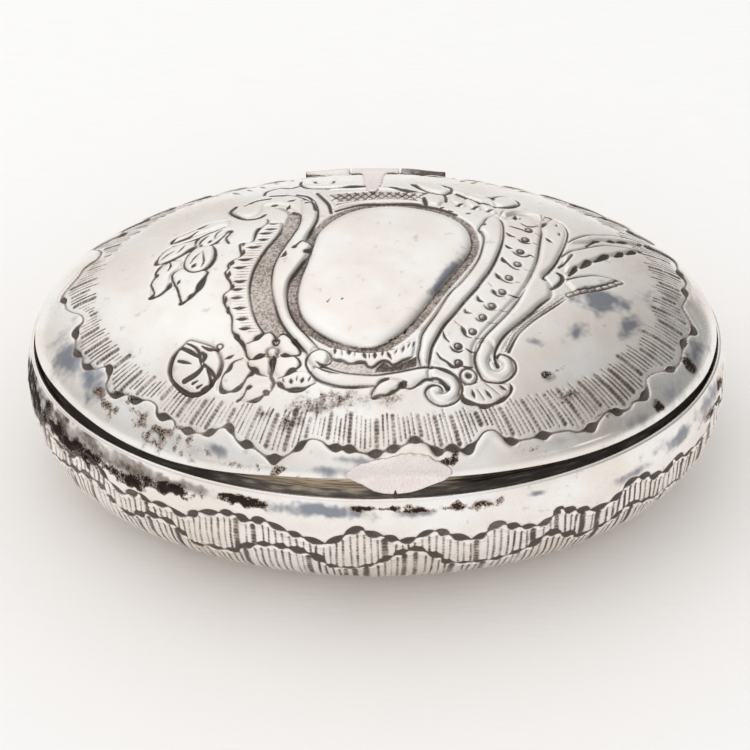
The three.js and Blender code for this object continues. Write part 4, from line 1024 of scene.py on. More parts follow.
def wall_run():
    """Distance round the wall of the base for each degree, from the seam."""
    degrees = np.arange(SEAM, SEAM + 361)
    angle = np.radians(degrees)
    a, b = RIM_A + BELLY_SWELL, RIM_B + BELLY_SWELL
    return degrees, distance_along(np.column_stack([a * np.cos(angle), b * np.sin(angle)]))


RUN_DEGREES, RUN = wall_run()


def run_at(degrees):
    return np.interp((np.asarray(degrees) - SEAM) % 360 + SEAM, RUN_DEGREES, RUN)


# One scallop: how far along it places are, from its middle, and how far down from crest to trough
SCALLOP = ((-0.42, 1), (-0.2, 0.45), (-0.05, 0), (0.12, 0.05), (0.3, 0.5))


def all_round(line, spacing, crest, trough, seed):
    """A scalloped line that goes on round the back in the rhythm of its front."""
    wobble = np.random.default_rng(seed)
    points = list(line)
    start, end = line[-1][0] + spacing / 2, line[0][0] + 360 - spacing / 2
    count = round((end - start) / spacing)
    for i in range(count):
        middle = start + (end - start) * (i + 0.5) / count + wobble.uniform(-1, 1)
        top = crest + wobble.uniform(-0.4, 0.4)
        for shift, share in SCALLOP:
            points.append((middle + shift * spacing, top + share * (trough - crest)))
    around = sorted(((degrees - SEAM) % 360 + SEAM, drop) for degrees, drop in points)
    ends = (around[0][1] + around[-1][1]) / 2
    middles = [(float(run_at(d)), -drop) for d, drop in around if SEAM + 1 < d < SEAM + 359]
    return spline([(run_at(SEAM), -ends), *middles, (RUN[-1], -ends)])


# How far under its step a flute starts, how many flutes are broad, and the least and the most that
# flutes measure across, the gaps between them and the lengths of the cuts in the step
FLUTE_TOP = 0.95
BROAD_SHARE = 0.15
FLUTE_WIDTHS = (0.3, 0.42)
BROAD_WIDTHS = (0.75, 1.05)
FLUTE_GAPS = (0.42, 0.6)
CUT_LENGTHS = (2.0, 3.1)


def stepped_belt(sheet, line, lower, depth, seed):
    """Flutes that run down to a lower line from a scalloped step, which is a chain of swelling cuts."""
    rng = np.random.default_rng(seed)
    level = heights_of(line)
    below = level(sheet.xs)[None] - sheet.ys[:, None]
    sheet.height -= depth * smooth(below, -0.05, 0.4) * (1 - 0.85 * smooth(below, 0.8, 4.2))
    sheet.height += (0.06 * np.exp(-((below + 0.75) / 0.3) ** 2)
                     + 0.14 * np.exp(-((below - FLUTE_TOP) / 0.2) ** 2))
    place = 0.4
    while place < RUN[-1] - 0.4:
        broad = rng.random() < BROAD_SHARE
        width = rng.uniform(*(BROAD_WIDTHS if broad else FLUTE_WIDTHS))
        top = float(level(place))
        foot = lower(place) + rng.uniform(0.3, 0.6)
        lean = rng.uniform(-0.16, 0.16)
        if top - foot > 1.2:
            dark = rng.uniform(0.7 if broad else 0.6, 0.9)
            sheet.gouge((place, top - FLUTE_TOP), (place + lean, foot), width, 0.2 if broad else 0.17, dark,
                        0.4, beads=0.55)
        place += width + rng.uniform(*FLUTE_GAPS)
    passed = distance_along(line)
    ends = np.cumsum(rng.uniform(*CUT_LENGTHS, int(passed[-1] / 2)))
    share = np.interp(passed, ends, np.arange(len(ends)))
    swell = (np.abs(np.sin(math.pi * share)) ** 0.9
             * np.interp(passed, ends, rng.uniform(0.95, 1.5, len(ends))))
    sheet.stroke(np.column_stack([line, 0.16 + swell]), 0.1, 0.92)


# Stains on the base: middle in degrees and millimetres below the rim, length, width and strength
# Grey film; on the left of the front it is partly a painted reflection of darker surroundings
BASE_FILM_AND_REFLECTION = [
    (198, 3, 20, 8, 1.6), (213, 2.4, 20, 5.2, 1.6), (228, 2, 16, 3.6, 1.5), (240, 1.8, 10, 2.6, 1.0),
    (250, 1.6, 9, 2, 0.9), (262, 1.9, 20, 2.8, 1.3), (277, 2.0, 9, 1.8, 1.1), (288, 1.4, 7, 1.6, 0.6),
    (297, 1.7, 3.6, 1.2, 1.0), (316, 3.8, 11, 2.2, 0.9), (328, 2.6, 12, 3, 1.0), (341, 2.2, 12, 4, 1.1),
]
BASE_CRUST = [
    (193, 3.4, 15, 6.4, 0.8), (206, 3.4, 15, 5, 0.78), (214, 3.8, 13, 3.8, 0.84), (224, 3.5, 14, 3.2, 0.82),
    (232, 3.1, 9, 2.2, 0.82), (238.5, 2.6, 6.5, 2, 1.0), (250, 1.8, 7, 1.9, 0.95), (247, 1.4, 4, 1, 0.9),
    (272, 1.3, 9, 1.2, 0.95), (276.5, 1.7, 5, 1, 0.9), (282, 1.6, 7, 1.5, 0.66), (288, 1.8, 6, 1.6, 0.6),
    (343, 4.2, 8, 1.8, 0.7), (348, 3, 6, 2.4, 0.72),
]
BASE_TARNISH = [
    (194, 3.6, 20, 9, 0.85), (209, 2.6, 27, 6.4, 0.86), (224, 2.4, 20, 4.4, 0.82), (236, 1.8, 12, 2.2, 0.7),
    (345, 3, 16, 5, 0.4),
]


def base_stains(sheet):
    for field, marks in ((sheet.film_and_reflection, BASE_FILM_AND_REFLECTION), (sheet.crust, BASE_CRUST), (sheet.dark, BASE_TARNISH)):
        sheet.stains(field, [(float(run_at(degrees)), -drop, length, width, 0, amount)
                             for degrees, drop, length, width, amount in marks])
    sheet.film_and_reflection = np.minimum(sheet.film_and_reflection, 1)


def base_chasing():
    """Everything that is chased on the base."""
    sheet = Chasing(left=0, right=RUN[-1], low=-20, high=0.6, step=BASE_STEP)
    upper = all_round(UPPER_LINE, spacing=12, crest=4.6, trough=6.9, seed=31)
    lower = all_round(LOWER_LINE, spacing=20, crest=8.8, trough=12, seed=32)
    level = heights_of(lower)
    stepped_belt(sheet, upper, level, depth=0.2, seed=41)
    under = smooth(level(sheet.xs)[None] - sheet.ys[:, None], -0.2, 0.3)
    for field in (sheet.height, sheet.dark, sheet.matt):
        field *= 1 - under
    rng = np.random.default_rng(43)
    stepped_belt(sheet, lower, lambda place: rng.uniform(-0.8, 0.8) - FLUTES_END, depth=0.22, seed=42)
    base_stains(sheet)
    return finished(sheet, seed=61)


# Meshes

def mesh_piece(name, points, faces, body, replaced, material):
    """A piece from points in millimetres and lists of faces with 3 or 4 corners."""
    mesh = bpy.data.meshes.new(name)
    points = np.asarray(points, np.float32) * MM
    corners = np.concatenate([f.ravel() for f in faces]).astype(np.int32)
    sizes = np.concatenate([np.full(len(f), f.shape[1]) for f in faces])
    mesh.vertices.add(len(points))
    mesh.vertices.foreach_set("co", points.ravel())
    mesh.loops.add(len(corners))
    mesh.loops.foreach_set("vertex_index", corners)
    mesh.polygons.add(len(sizes))
    mesh.polygons.foreach_set("loop_start", (np.cumsum(sizes) - sizes).astype(np.int32))
    mesh.update(calc_edges=True)
    mesh.shade_smooth()
    mesh.materials.append(material)
    piece = bpy.data.objects.new(name, mesh)
    bpy.context.scene.collection.objects.link(piece)
    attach(piece, body)
    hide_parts(*replaced)
    return piece


def colour_in(piece, values):
    """Stores the darkness, matting, film and crust of each point, which the materials read."""
    layer = piece.data.attributes.new("finish", "FLOAT_COLOR", "POINT")
    layer.data.foreach_set("color", np.asarray(values, np.float32).ravel())


def grid_faces(at):
    """The faces of a grid of points that is given by their numbers."""
    return np.stack([at[:-1, :-1], at[1:, :-1], at[1:, 1:], at[:-1, 1:]], -1).reshape(-1, 4)


def disc(count):
    """A square grid of points spread evenly over a unit disc, its faces and the loop round its edge."""
    a, b = np.meshgrid(np.linspace(-1, 1, count + 1), np.linspace(-1, 1, count + 1), indexing="ij")
    wide = np.abs(a) > np.abs(b)
    big, small = np.where(wide, a, b), np.where(wide, b, a)
    angle = math.pi / 4 * small / np.where(big == 0, 1, big)
    angle = np.where(wide, angle, math.pi / 2 - angle)
    at = np.arange((count + 1) ** 2).reshape(count + 1, count + 1)
    loop = np.concatenate([at[:-1, 0], at[-1, :-1], at[:0:-1, -1], at[0, :0:-1]])
    return (big * np.cos(angle)).ravel(), (big * np.sin(angle)).ravel(), grid_faces(at), loop


def bridge(outer, inner):
    """Faces between two loops, where one has a whole number of times the other's points."""
    if len(outer) < len(inner):
        return bridge(inner, outer)[:, ::-1]
    times = len(outer) // len(inner)
    if times == 1:
        return np.stack([outer, inner, np.roll(inner, -1), np.roll(outer, -1)], -1)
    starts = np.repeat(inner, times)
    fans = np.stack([outer, starts, np.roll(outer, -1)], -1)
    lasts = np.stack([np.roll(outer[::times], -1), inner, np.roll(inner, -1)], -1)
    return np.vstack([fans, lasts])


# The lid

# Height of the lid's edge over the rim of the base, by the angle round the oval in degrees
EDGE_ANGLES = [195, 205, 215, 225, 235, 245, 255, 265, 275, 285, 295, 305, 315, 325, 335, 345, 355]
EDGE_LIFTS = [1.2, 1.55, 1.15, 0.5, 0.35, 1.0, 2.0, 2.4, 2.6, 2.1, 1.7, 1.15, 0.85, 0.85, 0.95, 0.5, 0.9]
EDGE_LIFT_BEHIND = 1.0


def lid_edge(angle):
    """The height of the lid's edge, which has been bent here and there."""
    degrees = np.degrees(angle) % 360
    angles = [0, 90, 180] + EDGE_ANGLES
    lifts = [EDGE_LIFT_BEHIND] * 3 + EDGE_LIFTS
    around = np.arange(0, 360, 1.0)
    rough = np.interp(around, angles, lifts, period=360)
    kernel = np.exp(-(np.arange(-9, 10) / 4.0) ** 2)
    soft = np.convolve(np.concatenate([rough[-9:], rough, rough[:9]]), kernel / kernel.sum(), "valid")
    return RIM_Z + np.interp(degrees, around, soft, period=360)


def dome(x, y):
    """Height and outward direction of the lid's smooth form over places in plan."""
    share = np.hypot(x / LID_A, y / LID_B)
    edge = lid_edge(np.arctan2(y / LID_B, x / LID_A))
    rise = (1 - np.clip(share, 0, 1) ** CROWN_POWER) ** (1 / SHOULDER_POWER)
    across = CROWN_POWER * np.sqrt(share)
    normal = np.stack([across * x / LID_A ** 2, across * y / LID_B ** 2,
                       SHOULDER_POWER * rise ** (SHOULDER_POWER - 1) / (CROWN - edge)], -1)
    return edge + (CROWN - edge) * rise, normal / np.linalg.norm(normal, axis=-1, keepdims=True)


def even_share(radius):
    """Spreads rows evenly along the dome's curve rather than in plan."""
    share = np.linspace(0, 1, 4001)
    height = (CROWN - LID_EDGE) * (1 - share ** CROWN_POWER) ** (1 / SHOULDER_POWER)
    length = distance_along(np.column_stack([share * (LID_A + LID_B) / 2, height]))
    return np.interp(radius, length / length[-1], share)


def dome_points(u, v, offset):
    """Places over the dome for places on a unit disc, with their plan and their outward direction."""
    radius = np.hypot(u, v)
    spread = even_share(radius) / np.maximum(radius, 1e-9)
    x, y = u * spread * LID_A, v * spread * LID_B
    z, normal = dome(x, y)
    return np.column_stack([x, y, z]) + normal * np.asarray(offset)[..., None], x, y, normal


# From this share of the way out to its edge, the lid has no raised chasing
PLAIN_EDGE = 0.985

# How far in and how far down the rows of the lid's rounded edge lie
EDGE_ROUNDING = ((0.12, 0.12), (0.35, 0.17), (0.58, 0.1))

# The darkness, matting, film and crust of the lid's inside, and of its edge below and inside, where the
# dark is painted shade
LID_INSIDE_FINISH = (0.3, 0.5, 0.3, 0)
EDGE_UNDER_SHADE = (0.9, 0.8, 0, 0)
EDGE_INSIDE_SHADE = (1, 1, 0, 0)


def lid_shell(sheet, material):
    """The lid's chased outside, its rounded edge and its inside, which shows the chasing as soft dents."""
    u, v, outer_faces, outer_loop = disc(LID_GRID)
    plain, x, y, normal = dome_points(u, v, np.zeros(len(u)))
    relief = sheet.sample(sheet.height, x, y)
    share = np.hypot(x / LID_A, y / LID_B)
    relief = np.where(share > PLAIN_EDGE, np.minimum(relief, 0) * 0.5, relief)
    outside = plain + normal * relief[:, None]
    finish = sheet.finish(x, y)
    inner_u, inner_v, inner_faces, inner_loop = disc(LID_GRID // 4)
    inside, ix, iy, inner_normal = dome_points(inner_u, inner_v, np.full(len(inner_u), -SHEET))
    inside += inner_normal * (0.8 * sheet.sample(blurred(sheet.height, 0.5 / sheet.step), ix, iy))[:, None]
    edge = lid_edge(np.arctan2(iy / LID_B, ix / LID_A))[inner_loop]
    inside[inner_loop, 2] = np.maximum(inside[inner_loop, 2], edge + 0.05)
    rim, rim_loops = [], []
    edge_points = outside[outer_loop]
    inward = np.column_stack([normal[outer_loop][:, :2], np.zeros(len(outer_loop))])
    for depth, drop in EDGE_ROUNDING:
        rim_loops.append(len(outside) + len(outer_loop) * len(rim) + np.arange(len(outer_loop)))
        rim.append(edge_points - inward * depth - [0, 0, drop])
    start = len(outside) + len(outer_loop) * len(rim)
    faces = [outer_faces, bridge(outer_loop, rim_loops[0]), bridge(rim_loops[0], rim_loops[1]),
             bridge(rim_loops[1], rim_loops[2]), bridge(rim_loops[2], start + inner_loop),
             (start + inner_faces)[:, ::-1]]
    points = np.vstack([outside, *rim, inside])
    tones = np.zeros((len(points), 4))
    tones[:len(finish)] = finish
    tones[start:] = LID_INSIDE_FINISH
    # The underside and the inner ring of the lid's edge are painted dark as shade
    tones[start - 2 * len(outer_loop):start] = EDGE_UNDER_SHADE
    tones[start + inner_loop] = EDGE_INSIDE_SHADE
    piece = mesh_piece("lid", points, faces, "lid", ["lid_shell"], material)
    colour_in(piece, tones)


def closed_rings(rings, first_pole=None, last_pole=None):
    """Points and faces of rings stacked into a skin, closed by poles or into a ring."""
    loops, count = [], 0
    for ring in rings:
        loops.append(count + np.arange(len(ring)))
        count += len(ring)
    faces = [bridge(a, b) for a, b in zip(loops, loops[1:])]
    points = list(rings)
    if first_pole is None:
        faces.append(bridge(loops[-1], loops[0]))
    else:
        for pole, loop in ((first_pole, loops[0][::-1]), (last_pole, loops[-1])):
            faces.append(np.stack([np.full(len(loop), count), np.roll(loop, -1), loop], -1))
            points.append(np.array([pole], float))
            count += 1
    return np.vstack(points), faces


# The base

def wall(drop, angle, offset):
    """Places on the base at a depth below its rim, moved outwards by an offset."""
    to_belly = np.minimum(drop / BELLY_DROP, 1)
    to_foot = np.clip((drop - BELLY_DROP) / (RIM_Z - BELLY_DROP), 0, 1)
    swell = BELLY_SWELL * np.sin(to_belly * math.pi / 2)
    left = 1.0001 - to_foot ** FOOT_POWER
    inset = (BELLY_SWELL + FOOT_INSET) * (1 - left ** (1 / FOOT_POWER))
    out_slope = (BELLY_SWELL * math.pi / 2 / BELLY_DROP * np.cos(to_belly * math.pi / 2)
                 * (drop < BELLY_DROP))
    in_slope = (BELLY_SWELL + FOOT_INSET) / (RIM_Z - BELLY_DROP)
    in_slope = in_slope * to_foot ** (FOOT_POWER - 1) * left ** (1 / FOOT_POWER - 1)
    a, b = RIM_A + swell - inset, RIM_B + swell - inset
    flat = np.hypot(np.cos(angle) / a, np.sin(angle) / b)
    normal = np.stack([np.cos(angle) / a / flat, np.sin(angle) / b / flat,
                       (out_slope - in_slope) + 0 * angle], -1)
    normal /= np.linalg.norm(normal, axis=-1, keepdims=True)
    place = np.stack([a * np.cos(angle), b * np.sin(angle), RIM_Z - drop + 0 * angle], -1)
    return place + normal * np.asarray(offset)[..., None]


# The darkness, matting, film and crust of the plain parts, and how far the underside is dished
INSIDE_FINISH = (0.2, 0.6, 0, 0)
RIM_FINISH = (0.05, 0.1, 0, 0)
UNDERSIDE_FINISH = (0.3, 0.6, 0, 0)
UNDERSIDE_HOLLOW = 0.2


def base_shell(sheet, material):
    """The base's chased wall, its rim, its plain inside and its slightly dished underside."""
    angle = np.radians(SEAM + np.arange(BASE_COLUMNS) * 360 / BASE_COLUMNS)
    run = run_at(np.degrees(angle))
    few = angle[::4]
    half_width = SHEET / 2
    rings, tones = [], []

    def ring(points, tone):
        rings.append(points)
        tones.append(np.broadcast_to(tone, (len(points), 4)))

    inner_drops = RIM_Z * np.sin(np.linspace(0.97, 0.02, 34) * math.pi / 2) - SHEET
    for share in (0.25, 0.5, 0.75):
        x, y, _ = wall(np.float64(inner_drops[0]), few, np.full(len(few), -SHEET)).T
        ring(np.column_stack([x * share, y * share, np.full(len(few), SHEET)]), INSIDE_FINISH)
    for drop in inner_drops[:-1]:
        # Painted shade: the inside of the wall is darker near the rim, in the crevice beside the collar
        shade = 0.3 + 0.7 * smooth(3 - drop, 0, 1.5)
        ring(wall(np.float64(max(drop, half_width)), few, np.full(len(few), -SHEET)), (shade, 0.5, 0.2, 0))
    for turn in np.linspace(0, math.pi, 7):
        drop = np.float64(half_width * (1 - math.sin(turn)) + 0.01)
        offset = -half_width - half_width * math.cos(turn)
        ring(wall(drop, angle, np.full(len(angle), offset)), RIM_FINISH)
    foot = np.sin(np.radians(np.linspace(50, 89, 44))) ** (2 / FOOT_POWER)
    lower_drops = BELLY_DROP + (RIM_Z - BELLY_DROP) * foot
    drops = np.concatenate([np.arange(0.45, lower_drops[0] - 0.06, 0.125), lower_drops])
    for drop in drops:
        level = np.full(len(run), -drop)
        height = sheet.sample(sheet.height, run, level) * smooth(drop, 0.2, 1.2)
        height = height * (1 - smooth(drop, 17, 19.3))
        ring(wall(np.float64(drop), angle, height), sheet.finish(run, level))
    last = wall(np.float64(RIM_Z - 0.002), few, np.zeros(len(few)))
    ring(last * [1, 1, 0], UNDERSIDE_FINISH)
    for share in (0.94, 0.8, 0.5, 0.2):
        ring(last * [share, share, 0] + [0, 0, UNDERSIDE_HOLLOW * smooth(1 - share, 0, 0.15)],
             UNDERSIDE_FINISH)
    points, faces = closed_rings(rings, (0, 0, SHEET), (0, 0, UNDERSIDE_HOLLOW))
    piece = mesh_piece("base", points, faces, "base", ["base_shell"], material)
    colour_in(piece, np.vstack([*tones, np.full((2, 4), INSIDE_FINISH)]))


COLLAR_TOP = 2.9
COLLAR_SHEET = 0.6
COLLAR_FOOT = 2.6
COLLAR_CLEARANCE = 0.35


def collar(material):
    """The strip inside the rim of the base that the lid closes over."""
    angle = np.radians(np.arange(COLLAR_COLUMNS) * 360 / COLLAR_COLUMNS)
    wave = 0.04 * np.sin(5 * angle) + 0.03 * np.sin(11 * angle + 1)

    def inside_lid(height, inward):
        offset = -SHEET - COLLAR_CLEARANCE - inward
        rise = max(height - (LID_EDGE - RIM_Z), 0) / (CROWN - LID_EDGE)
        share = (1 - rise ** SHOULDER_POWER) ** (1 / CROWN_POWER)
        return np.column_stack([((LID_A + offset) * share + wave) * np.cos(angle),
                                ((LID_B + offset) * share + wave) * np.sin(angle),
                                np.full(len(angle), RIM_Z + height)])

    def inside_base(drop, inward):
        return wall(np.float64(drop), angle, np.full(len(angle), -SHEET - 0.02 - inward))

    rings = [inside_base(COLLAR_FOOT, 0), inside_base(1.6, 0), inside_base(0.95, 0), inside_base(0.5, 0.05)]
    rings += [inside_lid(height, 0) for height in (-0.3, 0, 0.6, 1.2, 1.8, 2.3, 2.6, COLLAR_TOP - 0.12)]
    rings += [inside_lid(COLLAR_TOP - 0.02, 0.1), inside_lid(COLLAR_TOP, 0.3),
              inside_lid(COLLAR_TOP - 0.02, 0.5)]
    rings += [inside_lid(height, COLLAR_SHEET) for height in (COLLAR_TOP - 0.12, 2.3, 1.5, 0.7, 0, -0.3)]
    rings += [inside_base(drop, COLLAR_SHEET) for drop in (0.9, 1.6, COLLAR_FOOT)]
    points, faces = closed_rings(rings)
    piece = mesh_piece("collar", points, [f[:, ::-1] for f in faces], "base", ["base_collar"],
                       material)
    # Painted shade: the collar is darkened and crusted below the rim, in the crevice where it meets the
    # base, and away from the front, where the gap under the lid is narrow
    turn = np.degrees(np.arctan2(points[:, 1], points[:, 0])) % 360
    bare = smooth(turn, 228, 250) * smooth(296 - turn, 0, 16)
    above = smooth(points[:, 2] - RIM_Z, -0.5, 0.0)
    dark = 0.95 - above * (0.2 + 0.6 * bare)
    crusted = 0.75 * (1 - bare) + 0.35 * bare * (1 - above)
    colour_in(piece, np.column_stack([dark, dark, 0 * dark, crusted]))


# The hinge

PIN_Y = frame["joints"][0]["pos_m"][1] / MM
PIN_Z = frame["joints"][0]["pos_m"][2] / MM
KNUCKLE_BORE = 0.6
KNUCKLE_EASE = 0.16
KNUCKLE_TOP = 1.05
FILED_AWAY = 0.5
BEARER_SEAT = 1.25
PLATE_SHEET = 0.3
THUMB_SHEET = 0.5


def turned(name, profile, body, replaced, material):
    """A piece turned about the hinge's axis, from a closed profile of places and radii."""
    angle = np.arange(KNUCKLE_SIDES) * 2 * math.pi / KNUCKLE_SIDES
    rings = [np.column_stack([np.full(KNUCKLE_SIDES, x), PIN_Y + r * np.cos(angle),
                              PIN_Z + r * np.sin(angle)]) for x, r in profile]
    points, faces = closed_rings(rings)
    return mesh_piece(name, points, faces, body, replaced, material)


def knuckle(node, body, material, outer_end=0, painted_shade_up_to=None):
    """A knuckle with eased edges, filed slimmer at an outer end, and painted dark as shade up to a height
    above the pin.
    """
    low, high = corners_mm(node)
    radius, bore, ease = (high.z - low.z) / 2, KNUCKLE_BORE, KNUCKLE_EASE
    ends = [radius - (FILED_AWAY if outer_end == side else 0) for side in (-1, 1)]
    xs = np.linspace(low.x + ease, high.x - ease, 9)
    slim = smooth((xs - low.x) / (high.x - low.x), 0, 1)
    radii = ends[0] + (ends[1] - ends[0]) * slim
    profile = [(low.x, bore), (low.x, radii[0] - ease), (low.x + ease * 0.3, radii[0] - ease * 0.3)]
    profile += list(zip(xs, radii))
    profile += [(high.x - ease * 0.3, radii[-1] - ease * 0.3), (high.x, radii[-1] - ease), (high.x, bore)]
    piece = turned(node.replace("knuckle", "hinge_knuckle"), profile[::-1], body, [node], material)
    if painted_shade_up_to is not None:
        height = np.array([point.co.z for point in piece.data.vertices]) / MM - PIN_Z
        # Painted shade on the lower part of the knuckle
        dark = 0.9 * smooth(painted_shade_up_to - height, 0, 0.3)
        colour_in(piece, np.column_stack([dark, 0 * dark, 0 * dark, 0 * dark]))


def pin(material):
    low, high = corners_mm("hinge_pin")
    radius = (high.z - low.z) / 2
    profile = [(low.x, 0.02), (low.x + 0.05, radius * 0.7), (low.x + 0.2, radius), (high.x - 0.2, radius),
               (high.x - 0.05, radius * 0.7), (high.x, 0.02)]
    turned("pin", profile[::-1], "base", ["hinge_pin"], material)


def patch(name, middle, outward, thickness, ease, body, replaced, material):
    """A plate from a grid of places on its middle surface, eased all round to a thin edge."""
    rows, cols = middle.shape[:2]
    i, j = np.meshgrid(np.arange(rows), np.arange(cols), indexing="ij")
    border = np.minimum(np.minimum(i, rows - 1 - i), np.minimum(j, cols - 1 - j))
    share = np.clip(border / ease, 0, 1)
    half = (thickness / 2 * np.sqrt(1 - (1 - share) ** 2))[..., None]
    top, under = middle + outward * half, middle - outward * half
    at = np.arange(rows * cols).reshape(rows, cols)
    below = np.where(border > 0, at + rows * cols, at)
    points = np.vstack([top.reshape(-1, 3), under.reshape(-1, 3)])
    faces = [grid_faces(at), grid_faces(below)[:, ::-1]]
    mesh_piece(name, points, faces, body, replaced, material).data.validate()


# How far behind the lid's middle places on the plate are, and half its width there
PLATE_HALF_WIDTHS = [
    (16.6, 0.3), (16.75, 0.6), (17.1, 0.78), (20, 1.25), (24.5, 1.5), (26.2, 1.9), (27, 3.1), (28, 3.3),
    (40, 3.3),
]


def hinge_plate(material):
    """The lid's plate, which spreads over the middle knuckle, with a tongue that runs up the dome."""
    low, high = corners_mm("lid_knuckle")
    centre = (low.x + high.x) / 2
    ys = np.concatenate([np.linspace(PLATE_HALF_WIDTHS[0][0], 26, 40), np.linspace(26.2, 30.2, 24)])
    half = np.interp(ys, *np.array(PLATE_HALF_WIDTHS).T)
    across = np.linspace(-1, 1, 25)
    ragged = 0.08 * np.sin(ys * 5.1) + 0.05 * np.sin(ys * 11.7 + 1)
    x = centre + across[None] * (half + ragged)[:, None]
    y = ys[:, None] + 0 * x
    z, normal = dome(x, y)
    place = np.stack([x, y, z], -1) + normal * 0.06
    top = PIN_Z + KNUCKLE_TOP
    reach = np.linspace(0, 1, 10)[1:, None, None]
    last = place[-1][None]
    end = np.stack([x[-1], np.full(len(across), PIN_Y), np.full(len(across), top)], -1)
    over = last + (end[None] - last) * reach
    over[..., 2] += 0.25 * np.sin(reach[..., 0] * math.pi)
    middle = np.concatenate([place, over])
    outward = np.concatenate([normal, np.broadcast_to([0, 0.2, 0.98], over.shape)])
    patch("lid_plate", middle, outward, PLATE_SHEET, 3, "lid", ["lid_hinge_plate"],
          material)


def bearer(material):
    """The strip on the back of the base that carries the outer knuckles."""
    low, high = corners_mm("hinge_bearer")
    rings = []
    for x in np.linspace(low.x, high.x, 40):
        end = min(x - low.x, high.x - x)
        ease = 0.25 * (1 - smooth(end, 0, 0.5))
        angle = math.acos(x / (RIM_A + BELLY_SWELL))
        front = wall(np.float64(1.5), np.array([angle]), np.array([-0.2]))[0][1]
        back = high.y - ease
        bottom = low.z + ease
        hollow = [(PIN_Y + BEARER_SEAT * math.cos(t), PIN_Z + BEARER_SEAT * math.sin(t))
                  for t in np.linspace(-0.45, -2.3, 9)]
        section = [(back, hollow[0][1] - 0.15), *hollow, (front, hollow[-1][1]), (front, bottom + 0.2),
                   (front + 0.6, bottom), (back - 0.9, bottom + 0.5), (back - 0.2, bottom + 1.4)]
        rings.append(np.array([(x, min(y, back), z) for y, z in section]))
    points, faces = closed_rings(rings, rings[0].mean(0), rings[-1].mean(0))
    mesh_piece("bearer", points, faces, "base", ["hinge_bearer"], material)


# The thumb piece

THUMB_LOWER = [
    (-3.1, 2.95), (-2, 2.5), (-1.1, 2.0), (0.46, 0.72), (1.6, 0.3), (2.85, 0.12), (3.1, 0.95), (3.35, 0.12),
    (5.1, 0.36), (6.3, 0.8), (7.4, 1.35), (9.0, 2.05), (10.2, 2.8),
]
THUMB_UPPER = [(-3.1, 3.2), (-1.2, 4.35), (1.85, 4.9), (5.1, 5.3), (7.4, 4.8), (9.2, 3.9), (10.2, 3.1)]


def thumb_piece(material):
    """A plate with a bracket-shaped lower edge, soldered over the edge of the lid."""
    left, right = THUMB_LOWER[0][0], THUMB_LOWER[-1][0]
    xs = np.unique(np.concatenate([np.linspace(left, right, 90), np.linspace(2.7, 3.5, 17)]))
    lower = np.interp(xs, *np.array(THUMB_LOWER).T)
    upper = np.interp(xs, *np.array(THUMB_UPPER).T) + 0.06 * np.sin(xs * 2.1) + 0.03 * np.sin(xs * 5.3)
    share = np.linspace(0, 1, 30)
    height = lower[:, None] + (upper - lower)[:, None] * share[None]
    x = xs[:, None] + 0 * height
    edge = lid_edge(np.arctan2(-np.sqrt(1 - (x / LID_A) ** 2), x / LID_A))
    rise = np.clip((RIM_Z + height - edge) / (CROWN - edge), 0, 1)
    reach = (1 - rise ** SHOULDER_POWER) ** (1 / CROWN_POWER)
    y = -LID_B * np.sqrt(reach ** 2 - (x / LID_A) ** 2)
    _, normal = dome(x, y)
    flare = 0.25 * np.exp(-(height - lower[:, None]) / 0.6)
    place = np.stack([x, y, RIM_Z + height], -1) + normal * (0.12 + flare[..., None])
    patch("thumb_plate", place[:, ::-1], normal[:, ::-1], THUMB_SHEET, 3, "lid", ["thumb_piece"],
          material)


# Materials

def ramp_node(nodes, low, high, first, last):
    """A node that takes a value smoothly from one range to another."""
    node = nodes.new("ShaderNodeMapRange")
    node.interpolation_type = "SMOOTHSTEP"
    for name, number in (("From Min", low), ("From Max", high), ("To Min", first), ("To Max", last)):
        node.inputs[name].default_value = number
    return node


